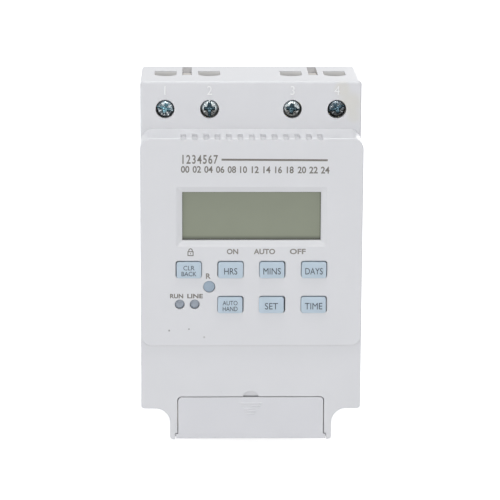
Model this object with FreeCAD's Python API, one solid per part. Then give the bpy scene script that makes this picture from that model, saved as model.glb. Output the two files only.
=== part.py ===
import FreeCAD, Part
import math
import os

# Weekly electronic time switch for a 35 mm rail or for screws in a wall.
# Millimetres. X to the right, Y into the wall, Z up. The wall is the plane Y = 0, the rail's middle is Z = 0.
os.makedirs("parts", exist_ok=True)
V = FreeCAD.Vector
INWARD = V(0, 1, 0)
SIDES = (-1, 1)

# Casing, measured outside
case_width = 74.0
case_height = 120.0
foot_depth = 7.5
base_floor = 2.0
housing_depth = 33.5
block_depth = 14.3
fascia_stand = 0.7
wall = 2.0
side_step = 0.1
block_top_drop = 16.1
top_draft = 0.5
top_corner = 1.2
block_corner = 4.0
fascia_low_corner = 3.6
ridge_round = 0.8
fascia_round = 0.5

# Notches that reach the wall screws at the two lower corners
notch_height = 10.8
notch_round = 5.0
notch_corner = 1.0

# Clearances
seam = 0.3
fit_gap = 0.2
pin_play = 0.05

# How far a rib or boss runs into the wall it grows from
root = 0.5

# Screws that close the casing from behind, and their posts
case_screw_inset = 10.2
case_screw_rise = 10.0
case_post = 7.0
case_shank = 3.0
case_pilot = 14.0
case_thread = 11.0
case_head = 5.6
case_head_height = 2.2
case_well = 10.0
case_well_bore = 6.8
case_bit_width = 0.9
case_bit_length = 3.2

# Fascia
fascia_height = 70.7
fascia_rim = 3.6
fascia_rim_low = 2.8
fascia_rim_high = 3.1
fascia_lip = 1.5
fascia_boss_low = 5.5
fascia_boss_high = 8.2
fascia_pilot = 2.0
leg_sheet = 1.2
leg_hook = 0.8
leg_length = 6.0
leg_heights = (-8.0, 22.0)
rib_count = 13
rib_pitch = 3.76
rib_width = 1.75
rib_cut = 0.66
rib_reach = 6.6
lens_margin = 14.0
lens_height = 16.4
lens_drop = 26.5
bevel_width = 1.9
bevel_depth = 1.1
bevel_corner = 0.3

# Keys
key_pitch = 13.9
key_width = 8.3
key_height = 5.4
key_drop = 44.35
row_pitch = 11.96
key_gap = 0.2
key_stand = 0.7
key_corner = 0.9
key_travel = 1.0
key_stop = 0.1
skirt_flare = 0.7
skirt_height = 1.2
key_edge = 0.25
clear_key_sink = 0.15
clear_key_size = 3.6
clear_key_x = -14.03
clear_key_drop = 5.9
web_sheet = 1.2
web_gap = 0.3
web_edge = 1.4

# Signal lamps
lamp_size = 3.0
lamp_x = -21.38
lamp_pitch = 4.98
lamp_drop = 11.95
lamp_sink = 0.5
lamp_play = 0.15
lamp_flange = 0.35
lamp_foot = 1.0
lamp_room = 0.6

# Circuit boards
board = 1.6
control_back = 7.5
control_margin = 5.8
control_height = 62.4
power_gap = 5.4
power_margin = 4.0
power_rise = 16.0
power_drop = 7.0
boss_size = 5.0
board_high_gap = 1.6
power_post = 6.0
power_post_margin = 7.0
power_post_low = 5.0
power_post_high = 17.0
pin_pitch = 2.54
pin_count = 8
pin_thick = 0.64
pin_rise = 4.2
header = 2.5
lead = 0.8

# Parts on the boards. Of the flat ones: left edge, width, lower edge, height, height over the board.
# Lower edges count from the display's middle on the control board, and from the upper edge on the power board.
chip_area = (-7.0, 14.0, -14.9, 14.0, 1.4)
chip_leg = 1.2
chip_lift = 0.15
chip_leg_sheet = 0.3
crystal_area = (11.0, 6.0, -8.9, 2.0, 2.0)
relay_area = (2.0, 28.0, -47.0, 27.0, 20.3)
relay_pins = ((3.0, 3.0), (3.0, 24.0), (23.0, 3.0), (23.0, 24.0), (14.0, 14.0))
capacitor_area = (5.0, 18.0, -28.5, 8.5, 14.5)
cans = ((9.5, -39.0, 8.0, 12.0), (21.0, -39.0, 10.0, 13.0))
can_crimp = 0.35
diode_size = 2.7
diode_length = 5.2
diode_span = 12.8
diode_margin = 9.6
diode_first = -56.0
diode_pitch = 5.0
resistor_size = 5.0
resistor_length = 15.0
resistor_span = 20.6
resistor_middle = (15.5, -59.0)
resistor_lift = 0.7
varistor_size = 10.0
varistor_sheet = 3.6
varistor_middle = (14.0, -50.5)
varistor_lift = 2.0
stand_off = 0.3

# Small screws: head, height of the head, slot
small_head = (3.8, 1.3, 0.5)
power_head = (5.2, 1.8, 0.7)
power_shank = 2.6
power_thread = 6.0

# Display
glass_border = 2.4
glass_height = 22.0
glass = 2.8
holder_wall = 1.2
glass_ledge = 1.8
strip_width = 2.0
strip_inset = 5.0
holder_foot_inset = 2.5
holder_foot = 4.0
holder_grip = 1.4

# Terminals
terminal_margin = 8.3
terminal_pitch = 14.85
terminal_turn = (27.0, 90.0, -6.0, 48.0)
terminal_drop = 9.5
entry_width = 7.45
entry_reach = 11.5
entry_setback = 10.8
hole_size = 6.3
tube_wall = 1.3
head_size = 5.9
head = 2.4
head_sink = 1.0
head_round = 0.5
shank_size = 4.0
journal_size = 2.4
journal = 0.8
cage_width = 9.0
cage_height = 9.0
cage_side = 0.8
cage_front = 3.0
cage_room = 8.0
cage_back = 1.2
cage_set = 10.7
pad = 1.2
bay_rib = 1.6
bay_floor = 1.4
bay_drop = 2.4
bay_reach = 0.6
tube_end = 2.6
cage_foot = 1.0
cage_foot_spread = 2.5
cage_foot_height = 3.4
pad_edge = 1.0
pad_rib = 1.5
pad_groove = 0.7
pad_groove_depth = 0.25
slot_width = 0.9
slot_depth = 0.9
cross_width = 1.15
cross_length = 3.7
cross_depth = 1.6

# Snap arms at the top
snap_margin = 15.6
snap_width = 2.6
snap_arm = 1.2
snap_drop = 0.5
snap_slope = 0.9
snap_barb = 8.0
window_width = 3.1
window_length = 18.7
window_back = 1.1

# Battery bay and its door
door_border = 2.75
door_height = 14.5
door_sheet = 1.5
door_gap = 0.27
door_corner = 1.2
ear_width = 0.8
ear_height = 1.7
pin_size = 1.5
pin_reach = 1.2
pin_inset = 1.4
thumb_size = 5.6
thumb_depth = 1.9
grip_lines = 5
grip_pitch = 0.92
grip_first = 7.6
grip_step = 1.3
grip_top = 2.1
cell_size = 10.5
cell_body = 43.4
cell_room = 5.5
cell_button = 0.9
button_size = 3.8
bay_depth = 12.7
bay_sheet = 1.4
cradle_x = 12.0
cradle = 1.4
cradle_height = 3.2
cell_drop = 1.35
cell_sink = 0.35
cell_shift = 0.25
ear_back = 0.8
ear_inner = 1.2
ear_skin = 0.9
ear_room = 1.5
door_room = 2.1
door_leg_x = 15.0
door_leg = 4.0
door_leg_high = 0.6
door_leg_low = 1.7
door_leg_reach = 2.4
grip_radius = 0.26
grip_sink = 0.1
leaf = 0.4
leaf_half = 4.0
leaf_tongue = 2.5

# Rail clip and wall fixing
rail_width = 35.0
rail_play = 0.2
flange_room = 1.3
hook = 1.8
hook_reach = 1.6
hook_length = 12.0
hook_margin = 15.0
foot_inset = 5.0
foot_end = 1.0
foot_corner = 3.0
rim_height = 3.5
rim_sheet = 1.5
latch_width = 15.8
latch_sheet = 4.2
guide_lip = 1.4
guide_sheet = 1.5
guide_low = 4.0
guide_high = 6.0
latch_cheek = 2.0
latch_corner = 1.5
latch_relief = 0.6
latch_play = 0.4
latch_eye = (8.0, 2.0, 2.2)
latch_grips = 4
latch_grip = (11.0, 6.4, 1.8, 0.8)
spring_drop = 12.1
spring_post = (4.4, 1.6)
spring_window = 6.2
spring_wire = 0.6
spring_size = 4.4
spring_turns = 7
spring_length = 13.2
ear_sheet = 3.0
ear_hole = 4.5
ear_margin = 5.0
ear_rise = 5.0
ear_overlap = 3.0
ear_edge = 0.8
ear_corner = 2.0
keyhole_size = 9.0
keyhole_slot = 4.6
keyhole_drop = 18.7
keyhole_rise = 7.2
pocket = 6.0
pocket_wall = 1.5
pocket_play = 0.9

# Planes worked out from the sizes
half = case_width / 2
top = case_height / 2
bottom = -top
base_back = -foot_depth
base_front = base_back - base_floor
terminal_face = base_front - housing_depth
block_face = terminal_face - block_depth
face = block_face - fascia_stand
fascia_back = block_face + fascia_lip
front_half = half - side_step
block_top = top - block_top_drop
fascia_top = block_top - top_draft
fascia_low = fascia_top - fascia_height
door_width = cell_body + cell_room
tongue = door_width / 2 + door_border
notch_top = bottom + notch_height
control_face = face + control_back
control_rear = control_face + board
power_rear = base_front - power_gap
power_face = power_rear - board
web_face = control_face - web_sheet
control_width = case_width - 2 * control_margin
control_high = fascia_top - fascia_rim - board_high_gap
control_low = control_high - control_height
pin_row = control_low + pin_rise
power_width = case_width - 2 * power_margin
power_left = -power_width / 2
power_low = bottom + power_rise
power_high = top - power_drop
lens_middle = fascia_top - lens_drop
lens_width = case_width - 2 * lens_margin
glass_width = lens_width + 2 * glass_border
key_row = fascia_top - key_drop
clear_key_z = key_row - clear_key_drop
lamp_z = key_row - lamp_drop
terminal_outer = half - terminal_margin
terminal_inner = terminal_outer - terminal_pitch
terminal_x = (-terminal_outer, -terminal_inner, terminal_inner, terminal_outer)
snap_x = half - snap_margin
hook_x = half - hook_margin
keyhole_z = top - keyhole_drop
key_rear = control_face - key_travel - key_stop
skirt_front = fascia_back + seam + 0.1
terminal_z = top - terminal_drop
cage_contact = base_front - cage_set
cage_rear = cage_contact + cage_back
cage_inner = cage_contact - cage_room
cage_face = cage_inner - cage_front
bay_floor_top = terminal_z - cage_height / 2 - bay_drop
key_columns = (-1.5, -0.5, 0.5, 1.5)
door_low = bottom + fit_gap
door_top = door_low + door_height
cell_z = door_top - door_gap - cell_drop - cell_size / 2
cell_y = block_face + door_sheet + cell_sink + cell_size / 2
bay_back = block_face + bay_depth
rail_edge = rail_width / 2 + rail_play


def box(x0, x1, y0, y1, z0, z1):
    """Box between two corners."""
    return Part.makeBox(x1 - x0, y1 - y0, z1 - z0, V(x0, y0, z0))


def rod(radius, start, end):
    """Round bar from one point to another."""
    run = end.sub(start)
    return Part.makeCylinder(radius, run.Length, start, run)


def outline(corners, y):
    """Closed wire in the plane Y = y through corners (x, z, radius), each corner an arc."""
    edges = []
    joints = []
    count = len(corners)
    for i in range(count):
        x, z, radius = corners[i]
        here = V(x, y, z)
        back = V(corners[i - 1][0], y, corners[i - 1][1]).sub(here).normalize()
        ahead_corner = corners[(i + 1) % count]
        ahead = V(ahead_corner[0], y, ahead_corner[1]).sub(here).normalize()
        half_angle = back.getAngle(ahead) / 2
        run = radius / math.tan(half_angle)
        into = back.add(ahead).normalize()
        centre = here.add(into.multiply(radius / math.sin(half_angle)))
        towards = here.sub(centre).normalize()
        middle = centre.add(towards.multiply(radius))
        joints.append((here.add(V(back).multiply(run)), middle, here.add(V(ahead).multiply(run))))
    for i in range(count):
        start, middle, end = joints[i]
        edges.append(Part.Arc(start, middle, end).toShape())
        following = joints[(i + 1) % count][0]
        if end.sub(following).Length > 1e-6:
            edges.append(Part.LineSegment(end, following).toShape())
    return Part.Wire(edges)


def slab(corners, y0, y1):
    """Plate with rounded corners between the planes Y = y0 and Y = y1."""
    return Part.Face(outline(corners, y0)).extrude(V(0, y1 - y0, 0))


def rectangle(x0, x1, z0, z1, low_round, high_round=None):
    """Corners of an upright rectangle, with its lower and upper corner radii."""
    if high_round is None:
        high_round = low_round
    return [(x0, z1, high_round), (x1, z1, high_round), (x1, z0, low_round), (x0, z0, low_round)]


def case_corners(side, ceiling, inset, corner, shrink=0.0):
    """Corners of the casing's outline with its two notches, drawn in by inset."""
    w = side - inset
    t = ceiling - inset - shrink
    b = bottom + inset
    n = notch_top + inset
    g = tongue - inset
    soft = max(notch_corner - inset, 0.3)
    ceiling_round = max(corner - inset, 0.4)
    return [
        (-w, t, ceiling_round), (w, t, ceiling_round), (w, n, soft), (g, n, notch_round + inset),
        (g, b, soft), (-g, b, soft), (-g, n, notch_round + inset), (-w, n, soft),
    ]


def edges_in_plane(shape, axis, value):
    """Edges of a shape that lie in one plane square to an axis."""
    found = []
    for edge in shape.Edges:
        bounds = edge.BoundBox
        low = (bounds.XMin, bounds.YMin, bounds.ZMin)[axis]
        high = (bounds.XMax, bounds.YMax, bounds.ZMax)[axis]
        if abs(low - value) < 1e-4 and abs(high - value) < 1e-4:
            found.append(edge)
    return found


def fuse(shapes):
    """One shape from several, with the seams between them removed."""
    first = shapes[0]
    return first.fuse(shapes[1:]).removeSplitter()


def save(name, shape):
    """Write one piece and print its volume and count of solids."""
    if not shape.isValid():
        print("invalid", name)
    shape.exportStep("parts/" + name + ".step")
    print(name, len(shape.Solids), round(shape.Volume, 1))


def group(shapes):
    """Several like pieces kept as separate solids."""
    return Part.makeCompound(shapes)


def key_places():
    """Name, X and Z of each rectangular key's middle."""
    names = (
        ("key_reset", 0, 0), ("key_hour", 1, 0), ("key_minute", 2, 0), ("key_day", 3, 0),
        ("key_mode", 1, 1), ("key_timer", 2, 1), ("key_clock", 3, 1),
    )
    places = []
    for name, column, row in names:
        places.append((name, key_columns[column] * key_pitch, key_row - row * row_pitch))
    return places


def lamp_places():
    """X of the two signal lamps."""
    return (lamp_x - lamp_pitch / 2, lamp_x + lamp_pitch / 2)


def boss_places():
    """X and Z of the four screws that hold the control board to the fascia."""
    x = control_width / 2 - boss_size / 2
    low = fascia_low + fascia_boss_low
    high = fascia_top - fascia_boss_high
    return [(side * x, z) for side in SIDES for z in (low, high)]


def case_screw_places():
    """X and Z of the two screws that close the casing from behind."""
    return [(side * (tongue - case_screw_inset), bottom + case_screw_rise) for side in SIDES]


def grip_grooves(front, reach):
    """The row of blind grooves along the front block's top edge, as one cutting shape."""
    cutters = []
    floor = fascia_top - rib_cut
    roof = block_top + 1
    for i in range(rib_count):
        x = (i - (rib_count - 1) / 2) * rib_pitch
        straight = reach - rib_width / 2
        cutters.append(box(x - rib_width / 2, x + rib_width / 2, front - 1, front + straight, floor, roof))
        end = V(x, front + straight, floor)
        cutters.append(rod(rib_width / 2, end, end.add(V(0, 0, roof - floor))))
    return group(cutters)


def wire_entry(x):
    """One opening for a conductor in the top wall, round at its front end."""
    far = base_front - entry_setback
    near = far - entry_reach
    radius = entry_width / 2
    block = box(x - radius, x + radius, near + radius, far, top - wall - 1, top + 1)
    end = V(x, near + radius, top - wall - 1)
    return fuse([block, rod(radius, end, end.add(V(0, 0, wall + 2)))])


def front_housing():
    """The moulded shell: terminal chamber above, block for the display and battery below."""
    shell = slab(case_corners(half, top, 0, top_corner), terminal_face, base_front)
    ridge = edges_in_plane(shell, 1, terminal_face)
    shell = shell.makeFillet(ridge_round, ridge)
    low = outline(case_corners(front_half, block_top, 0, block_corner), terminal_face + wall)
    high = outline(case_corners(front_half, block_top, 0, block_corner, top_draft), block_face)
    block = Part.makeLoft([low, high], True, True)
    shell = shell.fuse(block)
    shell = shell.cut(slab(case_corners(half, top, wall, top_corner), terminal_face + wall, base_front + 1))
    hollow = case_corners(front_half, block_top, wall, block_corner, top_draft)
    shell = shell.cut(slab(hollow, block_face + wall, terminal_face + wall + 1))
    shell = shell.cut(slab(fascia_window(0), block_face - 1, block_face + wall + 1))
    shell = fuse([shell, battery_bay()] + terminal_bays() + housing_bosses())
    cutters = [grip_grooves(block_face - fascia_stand, rib_reach), door_opening()]
    for x in terminal_x:
        cutters.append(wire_entry(x))
        cutters.append(rod(hole_size / 2, V(x, terminal_face - 1, terminal_z), V(x, cage_face, terminal_z)))
    for side in SIDES:
        x = side * snap_x
        back = base_front - window_back
        cutters.append(box(x - window_width / 2, x + window_width / 2, back - window_length, back,
                           top - wall - 1, top + 1))
    for x, z in case_screw_places():
        cutters.append(rod(case_shank / 2, V(x, base_front - case_pilot, z), V(x, base_front + 1, z)))
    for cutter in cutters:
        shell = shell.cut(cutter)
    return shell


def fascia_window(gap):
    """Corners of the opening in the housing's front that the fascia closes, drawn in by gap."""
    x = front_half - fascia_rim - gap
    return rectangle(-x, x, fascia_low + fascia_rim_low + gap, fascia_top - fascia_rim_high - gap,
                     fascia_low_corner - 1, block_corner - 1)


def terminal_bays():
    """Ribs and floor that part the four terminals, and the guide tubes round their screws."""
    inner = half - wall + root
    front = terminal_face + wall - root
    back = cage_rear + bay_reach
    ceiling = top - wall + root
    snap_floor = top - wall - snap_arm - snap_drop - seam
    pieces = [box(-inner, inner, front, back, bay_floor_top - bay_floor, bay_floor_top)]
    between = (terminal_x[2] + terminal_x[3]) / 2
    inside = terminal_x[2] - (terminal_x[3] - terminal_x[2]) / 2
    for side in SIDES:
        for x, roof in ((between, snap_floor - snap_drop), (inside, ceiling)):
            pieces.append(box(side * x - bay_rib / 2, side * x + bay_rib / 2, front, back,
                              bay_floor_top - root, roof))
    tube = hole_size / 2 + tube_wall
    for x in terminal_x:
        pieces.append(rod(tube, V(x, front, terminal_z), V(x, cage_face - tube_end, terminal_z)))
    return pieces


def housing_bosses():
    """Two posts behind the battery bay that take the screws of the rear base."""
    posts = []
    for x, z in case_screw_places():
        posts.append(rod(case_post / 2, V(x, bay_back + root, z), V(x, base_front - seam, z)))
    return posts


def battery_bay():
    """Closed tray behind the door, with two cradles for the cell."""
    side = door_width / 2 + door_gap
    outer = tongue - wall + root
    front = block_face + wall - root
    low = bottom + wall
    high = door_top + door_gap
    tray = box(-outer, outer, front, bay_back + bay_sheet, low - root, high + bay_sheet)
    tray = tray.cut(box(-side, side, front - 1, bay_back, low, high))
    hollow = rod(cell_size / 2 + fit_gap, V(-side, cell_y, cell_z), V(side, cell_y, cell_z))
    ribs = []
    for x in (-cradle_x, cradle_x):
        rib = box(x - cradle / 2, x + cradle / 2, bay_back - cradle_height, bay_back + root, low - root, high + root)
        ribs.append(rib.cut(hollow))
    return fuse([tray] + ribs)


def door_opening():
    """Cut for the door: its outline, the room its hinge edge turns in, and the two pin holes."""
    side = door_width / 2 + door_gap
    cuts = [slab(rectangle(-side, side, bottom - 2, door_top + door_gap, 0.4, door_corner + door_gap),
                 block_face - 1, block_face + wall + 0.5)]
    ear = side + ear_width
    ear_top = door_low + ear_height + door_gap
    ear_rear = hinge_y() + ear_back
    cuts.append(box(-ear, ear, block_face - 1, ear_rear + ear_room, bottom - 1, ear_top))
    cuts.append(box(-ear, ear, block_face + ear_skin, ear_rear + ear_room, bottom - 1, hinge_z() + ear_room))
    cuts.append(box(-side, side, block_face - 1, hinge_y() + door_room, bottom - 1, bottom + wall + ear_back))
    reach = ear + pin_reach
    cuts.append(rod(pin_size / 2 + pin_play, V(-reach, hinge_y(), hinge_z()), V(reach, hinge_y(), hinge_z())))
    thumb_z = door_top + door_gap - thumb_size / 2 + thumb_depth
    cuts.append(rod(thumb_size / 2, V(0, block_face - 1, thumb_z), V(0, block_face + ear_skin, thumb_z)))
    return fuse(cuts)


def hinge_y():
    """Depth of the door's hinge line."""
    return block_face + pin_inset


def hinge_z():
    """Height of the door's hinge line."""
    return bottom + pin_inset


def battery_door():
    """Door with hinge ears, snap legs and a wedge of raised grip lines."""
    side = door_width / 2
    plate = slab(rectangle(-side, side, door_low, door_top, 0.3, door_corner), block_face, block_face + door_sheet)
    ear = side + ear_width
    inner = side - ear_inner
    ears = box(-ear, ear, block_face, hinge_y() + ear_back, door_low, door_low + ear_height)
    ears = ears.cut(box(-inner, inner, block_face + door_sheet, terminal_face, door_low - 1, door_top))
    pins = rod(pin_size / 2, V(-ear - pin_reach + seam, hinge_y(), hinge_z()),
               V(ear + pin_reach - seam, hinge_y(), hinge_z()))
    pins = pins.cut(box(-inner, inner, face, terminal_face, bottom - 1, top))
    solids = [plate, ears, pins]
    for x in SIDES:
        leg_x = x * door_leg_x
        leg_rear = block_face + door_sheet + door_leg_reach
        solids.append(box(leg_x - door_leg / 2, leg_x + door_leg / 2, block_face + door_sheet - root, leg_rear,
                          door_top - door_leg_low, door_top - door_leg_high))
    for i in range(grip_lines):
        width = grip_first - i * grip_step
        z = door_top - grip_top - i * grip_pitch
        y = block_face + grip_sink
        solids.append(rod(grip_radius, V(-width / 2, y, z), V(width / 2, y, z)))
    door = fuse(solids)
    front_low = [edge for edge in edges_in_plane(door, 1, block_face)
                 if edge.BoundBox.ZMax < door_low + 0.01 and edge.BoundBox.XLength > door_width]
    return door.makeFillet(0.4, front_low)


def fascia():
    """Raised front panel with its window, key and lamp holes, and its bosses and snap legs."""
    corners = rectangle(-front_half, front_half, fascia_low, fascia_top, fascia_low_corner, block_corner)
    plate = slab(corners, face, block_face)
    plate = plate.makeFillet(fascia_round, edges_in_plane(plate, 1, face))
    plate = plate.fuse(slab(fascia_window(fit_gap), block_face, fascia_back))
    adds = []
    for x, z in boss_places():
        adds.append(rod(boss_size / 2, V(x, fascia_back - root, z), V(x, control_face, z)))
    adds += snap_legs()
    plate = fuse([plate] + adds)
    for cutter in fascia_cuts():
        plate = plate.cut(cutter)
    return plate


def snap_legs():
    """Four legs that click behind the housing's rim."""
    edge = front_half - fascia_rim - fit_gap
    back = block_face + wall + 0.1
    legs = []
    for side in SIDES:
        for z in leg_heights:
            tip = back + 2 * leg_hook
            points = [(edge - leg_sheet, fascia_back - root), (edge, fascia_back - root), (edge, back),
                      (edge + leg_hook, back), (edge, tip), (edge - leg_sheet, tip)]
            corners = [V(side * x, y, z) for x, y in points]
            profile = Part.Face(Part.makePolygon(corners + [corners[0]]))
            legs.append(profile.extrude(V(0, 0, leg_length)))
    return legs


def fascia_cuts():
    """Everything cut from the fascia: window and bevel, key holes, lamp holes, grooves and pilot holes."""
    x = lens_width / 2
    z0 = lens_middle - lens_height / 2
    z1 = lens_middle + lens_height / 2
    cuts = [box(-x, x, face - 1, fascia_back + 1, z0, z1)]
    b = bevel_width
    bevel_outer = outline(rectangle(-x - b, x + b, z0 - b, z1 + b, bevel_corner), face)
    bevel_inner = outline(rectangle(-x, x, z0, z1, bevel_corner), face + bevel_depth)
    cuts.append(Part.makeLoft([bevel_outer, bevel_inner], True, True))
    for name, kx, kz in key_places():
        w = key_width / 2 + key_gap
        h = key_height / 2 + key_gap
        cuts.append(slab(rectangle(kx - w, kx + w, kz - h, kz + h, key_corner), face - 1, fascia_back + 1))
    clear = clear_key_size / 2 + key_gap
    cuts.append(rod(clear, V(clear_key_x, face - 1, clear_key_z), V(clear_key_x, fascia_back + 1, clear_key_z)))
    for lx in lamp_places():
        cuts.append(rod(lamp_size / 2 + lamp_play, V(lx, face - 1, lamp_z), V(lx, fascia_back + 1, lamp_z)))
    cuts.append(grip_grooves(face, rib_reach))
    for bx, bz in boss_places():
        cuts.append(rod(fascia_pilot / 2, V(bx, fascia_back + root, bz), V(bx, control_face + 1, bz)))
    return cuts


def rectangular_key(x, z):
    """Silicone key: cap with soft edges, and the flared skirt that stays behind the fascia."""
    w = key_width / 2
    h = key_height / 2
    f = skirt_flare
    skirt_rear = skirt_front + skirt_height
    cap = slab(rectangle(x - w, x + w, z - h, z + h, key_corner), face - key_stand, skirt_rear)
    cap = cap.makeChamfer(key_edge, edges_in_plane(cap, 1, face - key_stand))
    foot = box(x - w - f, x + w + f, skirt_front, key_rear, z - h - f, z + h + f)
    foot = foot.makeChamfer(f, edges_in_plane(foot, 1, skirt_front))
    return fuse([cap, foot])


def clear_key():
    """Small round key, level with the fascia, with a round skirt behind it."""
    r = clear_key_size / 2
    front = face + clear_key_sink
    waist = V(clear_key_x, skirt_front, clear_key_z)
    cap = rod(r, V(clear_key_x, front, clear_key_z), waist)
    cap = cap.makeChamfer(key_edge, edges_in_plane(cap, 1, front))
    cone = Part.makeCone(r, r + skirt_flare, skirt_height, waist, INWARD)
    foot = rod(r + skirt_flare, V(clear_key_x, skirt_front + skirt_height, clear_key_z),
               V(clear_key_x, key_rear, clear_key_z))
    return fuse([cap, cone, foot])


def keypad_web():
    """Silicone sheet on the control board, open where each key's skirt passes through it."""
    side = control_width / 2 - boss_size - seam
    low = key_row - row_pitch - key_height / 2 - skirt_flare - web_edge
    high = key_row + key_height / 2 + skirt_flare + web_edge
    web = box(-side, side, web_face, control_face, low, high)
    grow = skirt_flare + web_gap
    for name, x, z in key_places():
        w = key_width / 2 + grow
        h = key_height / 2 + grow
        web = web.cut(box(x - w, x + w, web_face - 1, control_face + 1, z - h, z + h))
    rounds = [(clear_key_x, clear_key_z, clear_key_size / 2 + grow)]
    rounds += [(x, lamp_z, lamp_size / 2 + lamp_room) for x in lamp_places()]
    for x, z, radius in rounds:
        web = web.cut(rod(radius, V(x, web_face - 1, z), V(x, control_face + 1, z)))
    return web


def signal_lamp(x):
    """Round lamp with its flange and dome, standing on the control board."""
    r = lamp_size / 2
    tip = face + lamp_sink
    body = rod(r, V(x, tip + r, lamp_z), V(x, control_face, lamp_z))
    dome = Part.makeSphere(r, V(x, tip + r, lamp_z))
    flange = rod(r + lamp_flange, V(x, control_face - lamp_foot, lamp_z), V(x, control_face, lamp_z))
    return fuse([body, dome, flange])


def lcd_panel():
    """Two glass plates with the ledge that carries the contacts."""
    z0 = lens_middle - glass_height / 2
    z1 = lens_middle + glass_height / 2
    x = glass_width / 2
    front = fascia_back + fit_gap
    back_plate = box(-x, x, front + glass / 2, front + glass, z0, z1)
    front_plate = box(-x, x, front, front + glass / 2, z0 + glass_ledge, z1 - glass_ledge)
    return fuse([back_plate, front_plate])


def lcd_holder():
    """Frame that holds the glass to the board, with two clip feet."""
    x = glass_width / 2 + fit_gap
    z = glass_height / 2 + fit_gap
    front = fascia_back + fit_gap
    ring = box(-x - holder_wall, x + holder_wall, front, control_face, lens_middle - z - holder_wall,
               lens_middle + z + holder_wall)
    ring = ring.cut(box(-x, x, front - 1, control_face + 1, lens_middle - z, lens_middle + z))
    feet = []
    for side in SIDES:
        left = side * (glass_width / 2 - holder_foot_inset) - holder_foot / 2
        for rise in SIDES:
            low, high = sorted((lens_middle + rise * (z - holder_grip), lens_middle + rise * (z + root)))
            feet.append(box(left, left + holder_foot, front + glass, control_face, low, high))
    return fuse([ring] + feet)


def contact_strips():
    """Two rubber strips between the glass and the board."""
    front = fascia_back + fit_gap + glass
    strips = []
    for side in SIDES:
        z = lens_middle + side * (glass_height / 2 - holder_grip)
        x = glass_width / 2 - strip_inset
        strips.append(box(-x, x, front, control_face, z - strip_width / 2, z + strip_width / 2))
    return group(strips)


def control_board():
    """Board behind the fascia, with its four screw holes."""
    x = control_width / 2
    plate = slab(rectangle(-x, x, control_low, control_high, root), control_face, control_rear)
    for bx, bz in boss_places():
        hole = fascia_pilot / 2 + fit_gap
        plate = plate.cut(rod(hole, V(bx, control_face - 1, bz), V(bx, control_rear + 1, bz)))
    return plate


def controller_chip():
    """Flat chip on the back of the control board, its legs as four strips."""
    x0, width, rise, length, height = chip_area
    x1 = x0 + width
    z0 = lens_middle + rise
    z1 = z0 + length
    body = box(x0, x1, control_rear + chip_lift, control_rear + height, z0, z1)
    rear = control_rear + chip_leg_sheet
    sides = box(x0 - chip_leg, x1 + chip_leg, control_rear, rear, z0 + chip_leg, z1 - chip_leg)
    ends = box(x0 + chip_leg, x1 - chip_leg, control_rear, rear, z0 - chip_leg, z1 + chip_leg)
    return fuse([body, sides, ends])


def crystal():
    """Clock crystal, a small can lying on the board."""
    x0, length, rise, width, height = crystal_area
    y = control_rear + height / 2
    z = lens_middle + rise + width / 2
    return rod(height / 2, V(x0, y, z), V(x0 + length, y, z))


def small_screw(x, z):
    """Self-tapping screw through the control board into a boss of the fascia."""
    size, height, slot = small_head
    rear = control_rear + height
    head_part = rod(size / 2, V(x, control_rear, z), V(x, rear, z))
    shank = rod(fascia_pilot / 2 - pin_play, V(x, fascia_back + 2 * root, z), V(x, control_rear + root, z))
    cut = box(x - slot / 2, x + slot / 2, rear - slot, rear + 1, z - size, z + size)
    return fuse([head_part, shank]).cut(cut)


def power_board():
    """Board on the rear base that carries the relay, the supply and the terminals."""
    x = power_width / 2
    plate = slab(rectangle(-x, x, power_low, power_high, 1.5), power_face, power_rear)
    for bx, bz in power_boss_places():
        hole = power_shank / 2 + fit_gap
        plate = plate.cut(rod(hole, V(bx, power_face - 1, bz), V(bx, power_rear + 1, bz)))
    w = cage_foot / 2 + seam
    h = cage_foot_height / 2 + seam
    for tx in terminal_x:
        for side in SIDES:
            x = tx + side * cage_foot_spread
            plate = plate.cut(box(x - w, x + w, power_face - 1, power_rear + 1, terminal_z - h, terminal_z + h))
    return plate


def power_boss_places():
    """X and Z of the four posts under the power board."""
    heights = (power_low + power_post_low, power_high - power_post_high)
    x = power_width / 2 - power_post_margin
    return [(side * x, z) for side in SIDES for z in heights]


def power_screw(x, z):
    """Screw that holds the power board on a post of the rear base."""
    size, height, slot = power_head
    front = power_face - height
    head_part = rod(size / 2, V(x, front, z), V(x, power_face, z))
    shank = rod(power_shank / 2 - pin_play, V(x, power_face - root, z), V(x, power_rear + power_thread, z))
    cut = box(x - slot / 2, x + slot / 2, front - 1, front + slot, z - size, z + size)
    return fuse([head_part, shank]).cut(cut)


def relay():
    """Power relay: sealed case with its pins through the board."""
    x0, width, rise, length, height = relay_area
    x0 += power_left
    z0 = power_high + rise
    case = box(x0, x0 + width, power_face - height, power_face - stand_off, z0, z0 + length)
    case = case.makeChamfer(root, edges_in_plane(case, 1, power_face - height))
    pins = []
    for right, up in relay_pins:
        x = x0 + right
        z = z0 + up
        pins.append(box(x - lead / 2, x + lead / 2, power_face - root, power_face, z - lead, z + lead))
    return fuse([case] + pins)


def suppression_capacitor():
    """Box capacitor that drops the mains voltage."""
    x0, width, rise, length, height = capacitor_area
    z0 = power_high + rise
    case = box(x0, x0 + width, power_face - height, power_face - stand_off, z0, z0 + length)
    z = z0 + length / 2
    pins = [rod(lead / 2, V(x, power_face - root, z), V(x, power_face, z)) for x in (x0 + lead, x0 + width - lead)]
    return fuse([case] + pins)


def electrolytic_capacitors():
    """Two round capacitors with their crimped foot."""
    pair = []
    for x, rise, size, length in cans:
        r = size / 2
        z = power_high + rise
        profile = [(0, 0), (r, 0), (r, 2 * root), (r - can_crimp, 3 * root), (r, 4 * root), (r, length), (0, length)]
        points = [V(x + u, power_face - v, z) for u, v in profile]
        pair.append(Part.Face(Part.makePolygon(points + [points[0]])).revolve(V(x, 0, z), INWARD, 360))
    return group(pair)


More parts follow.
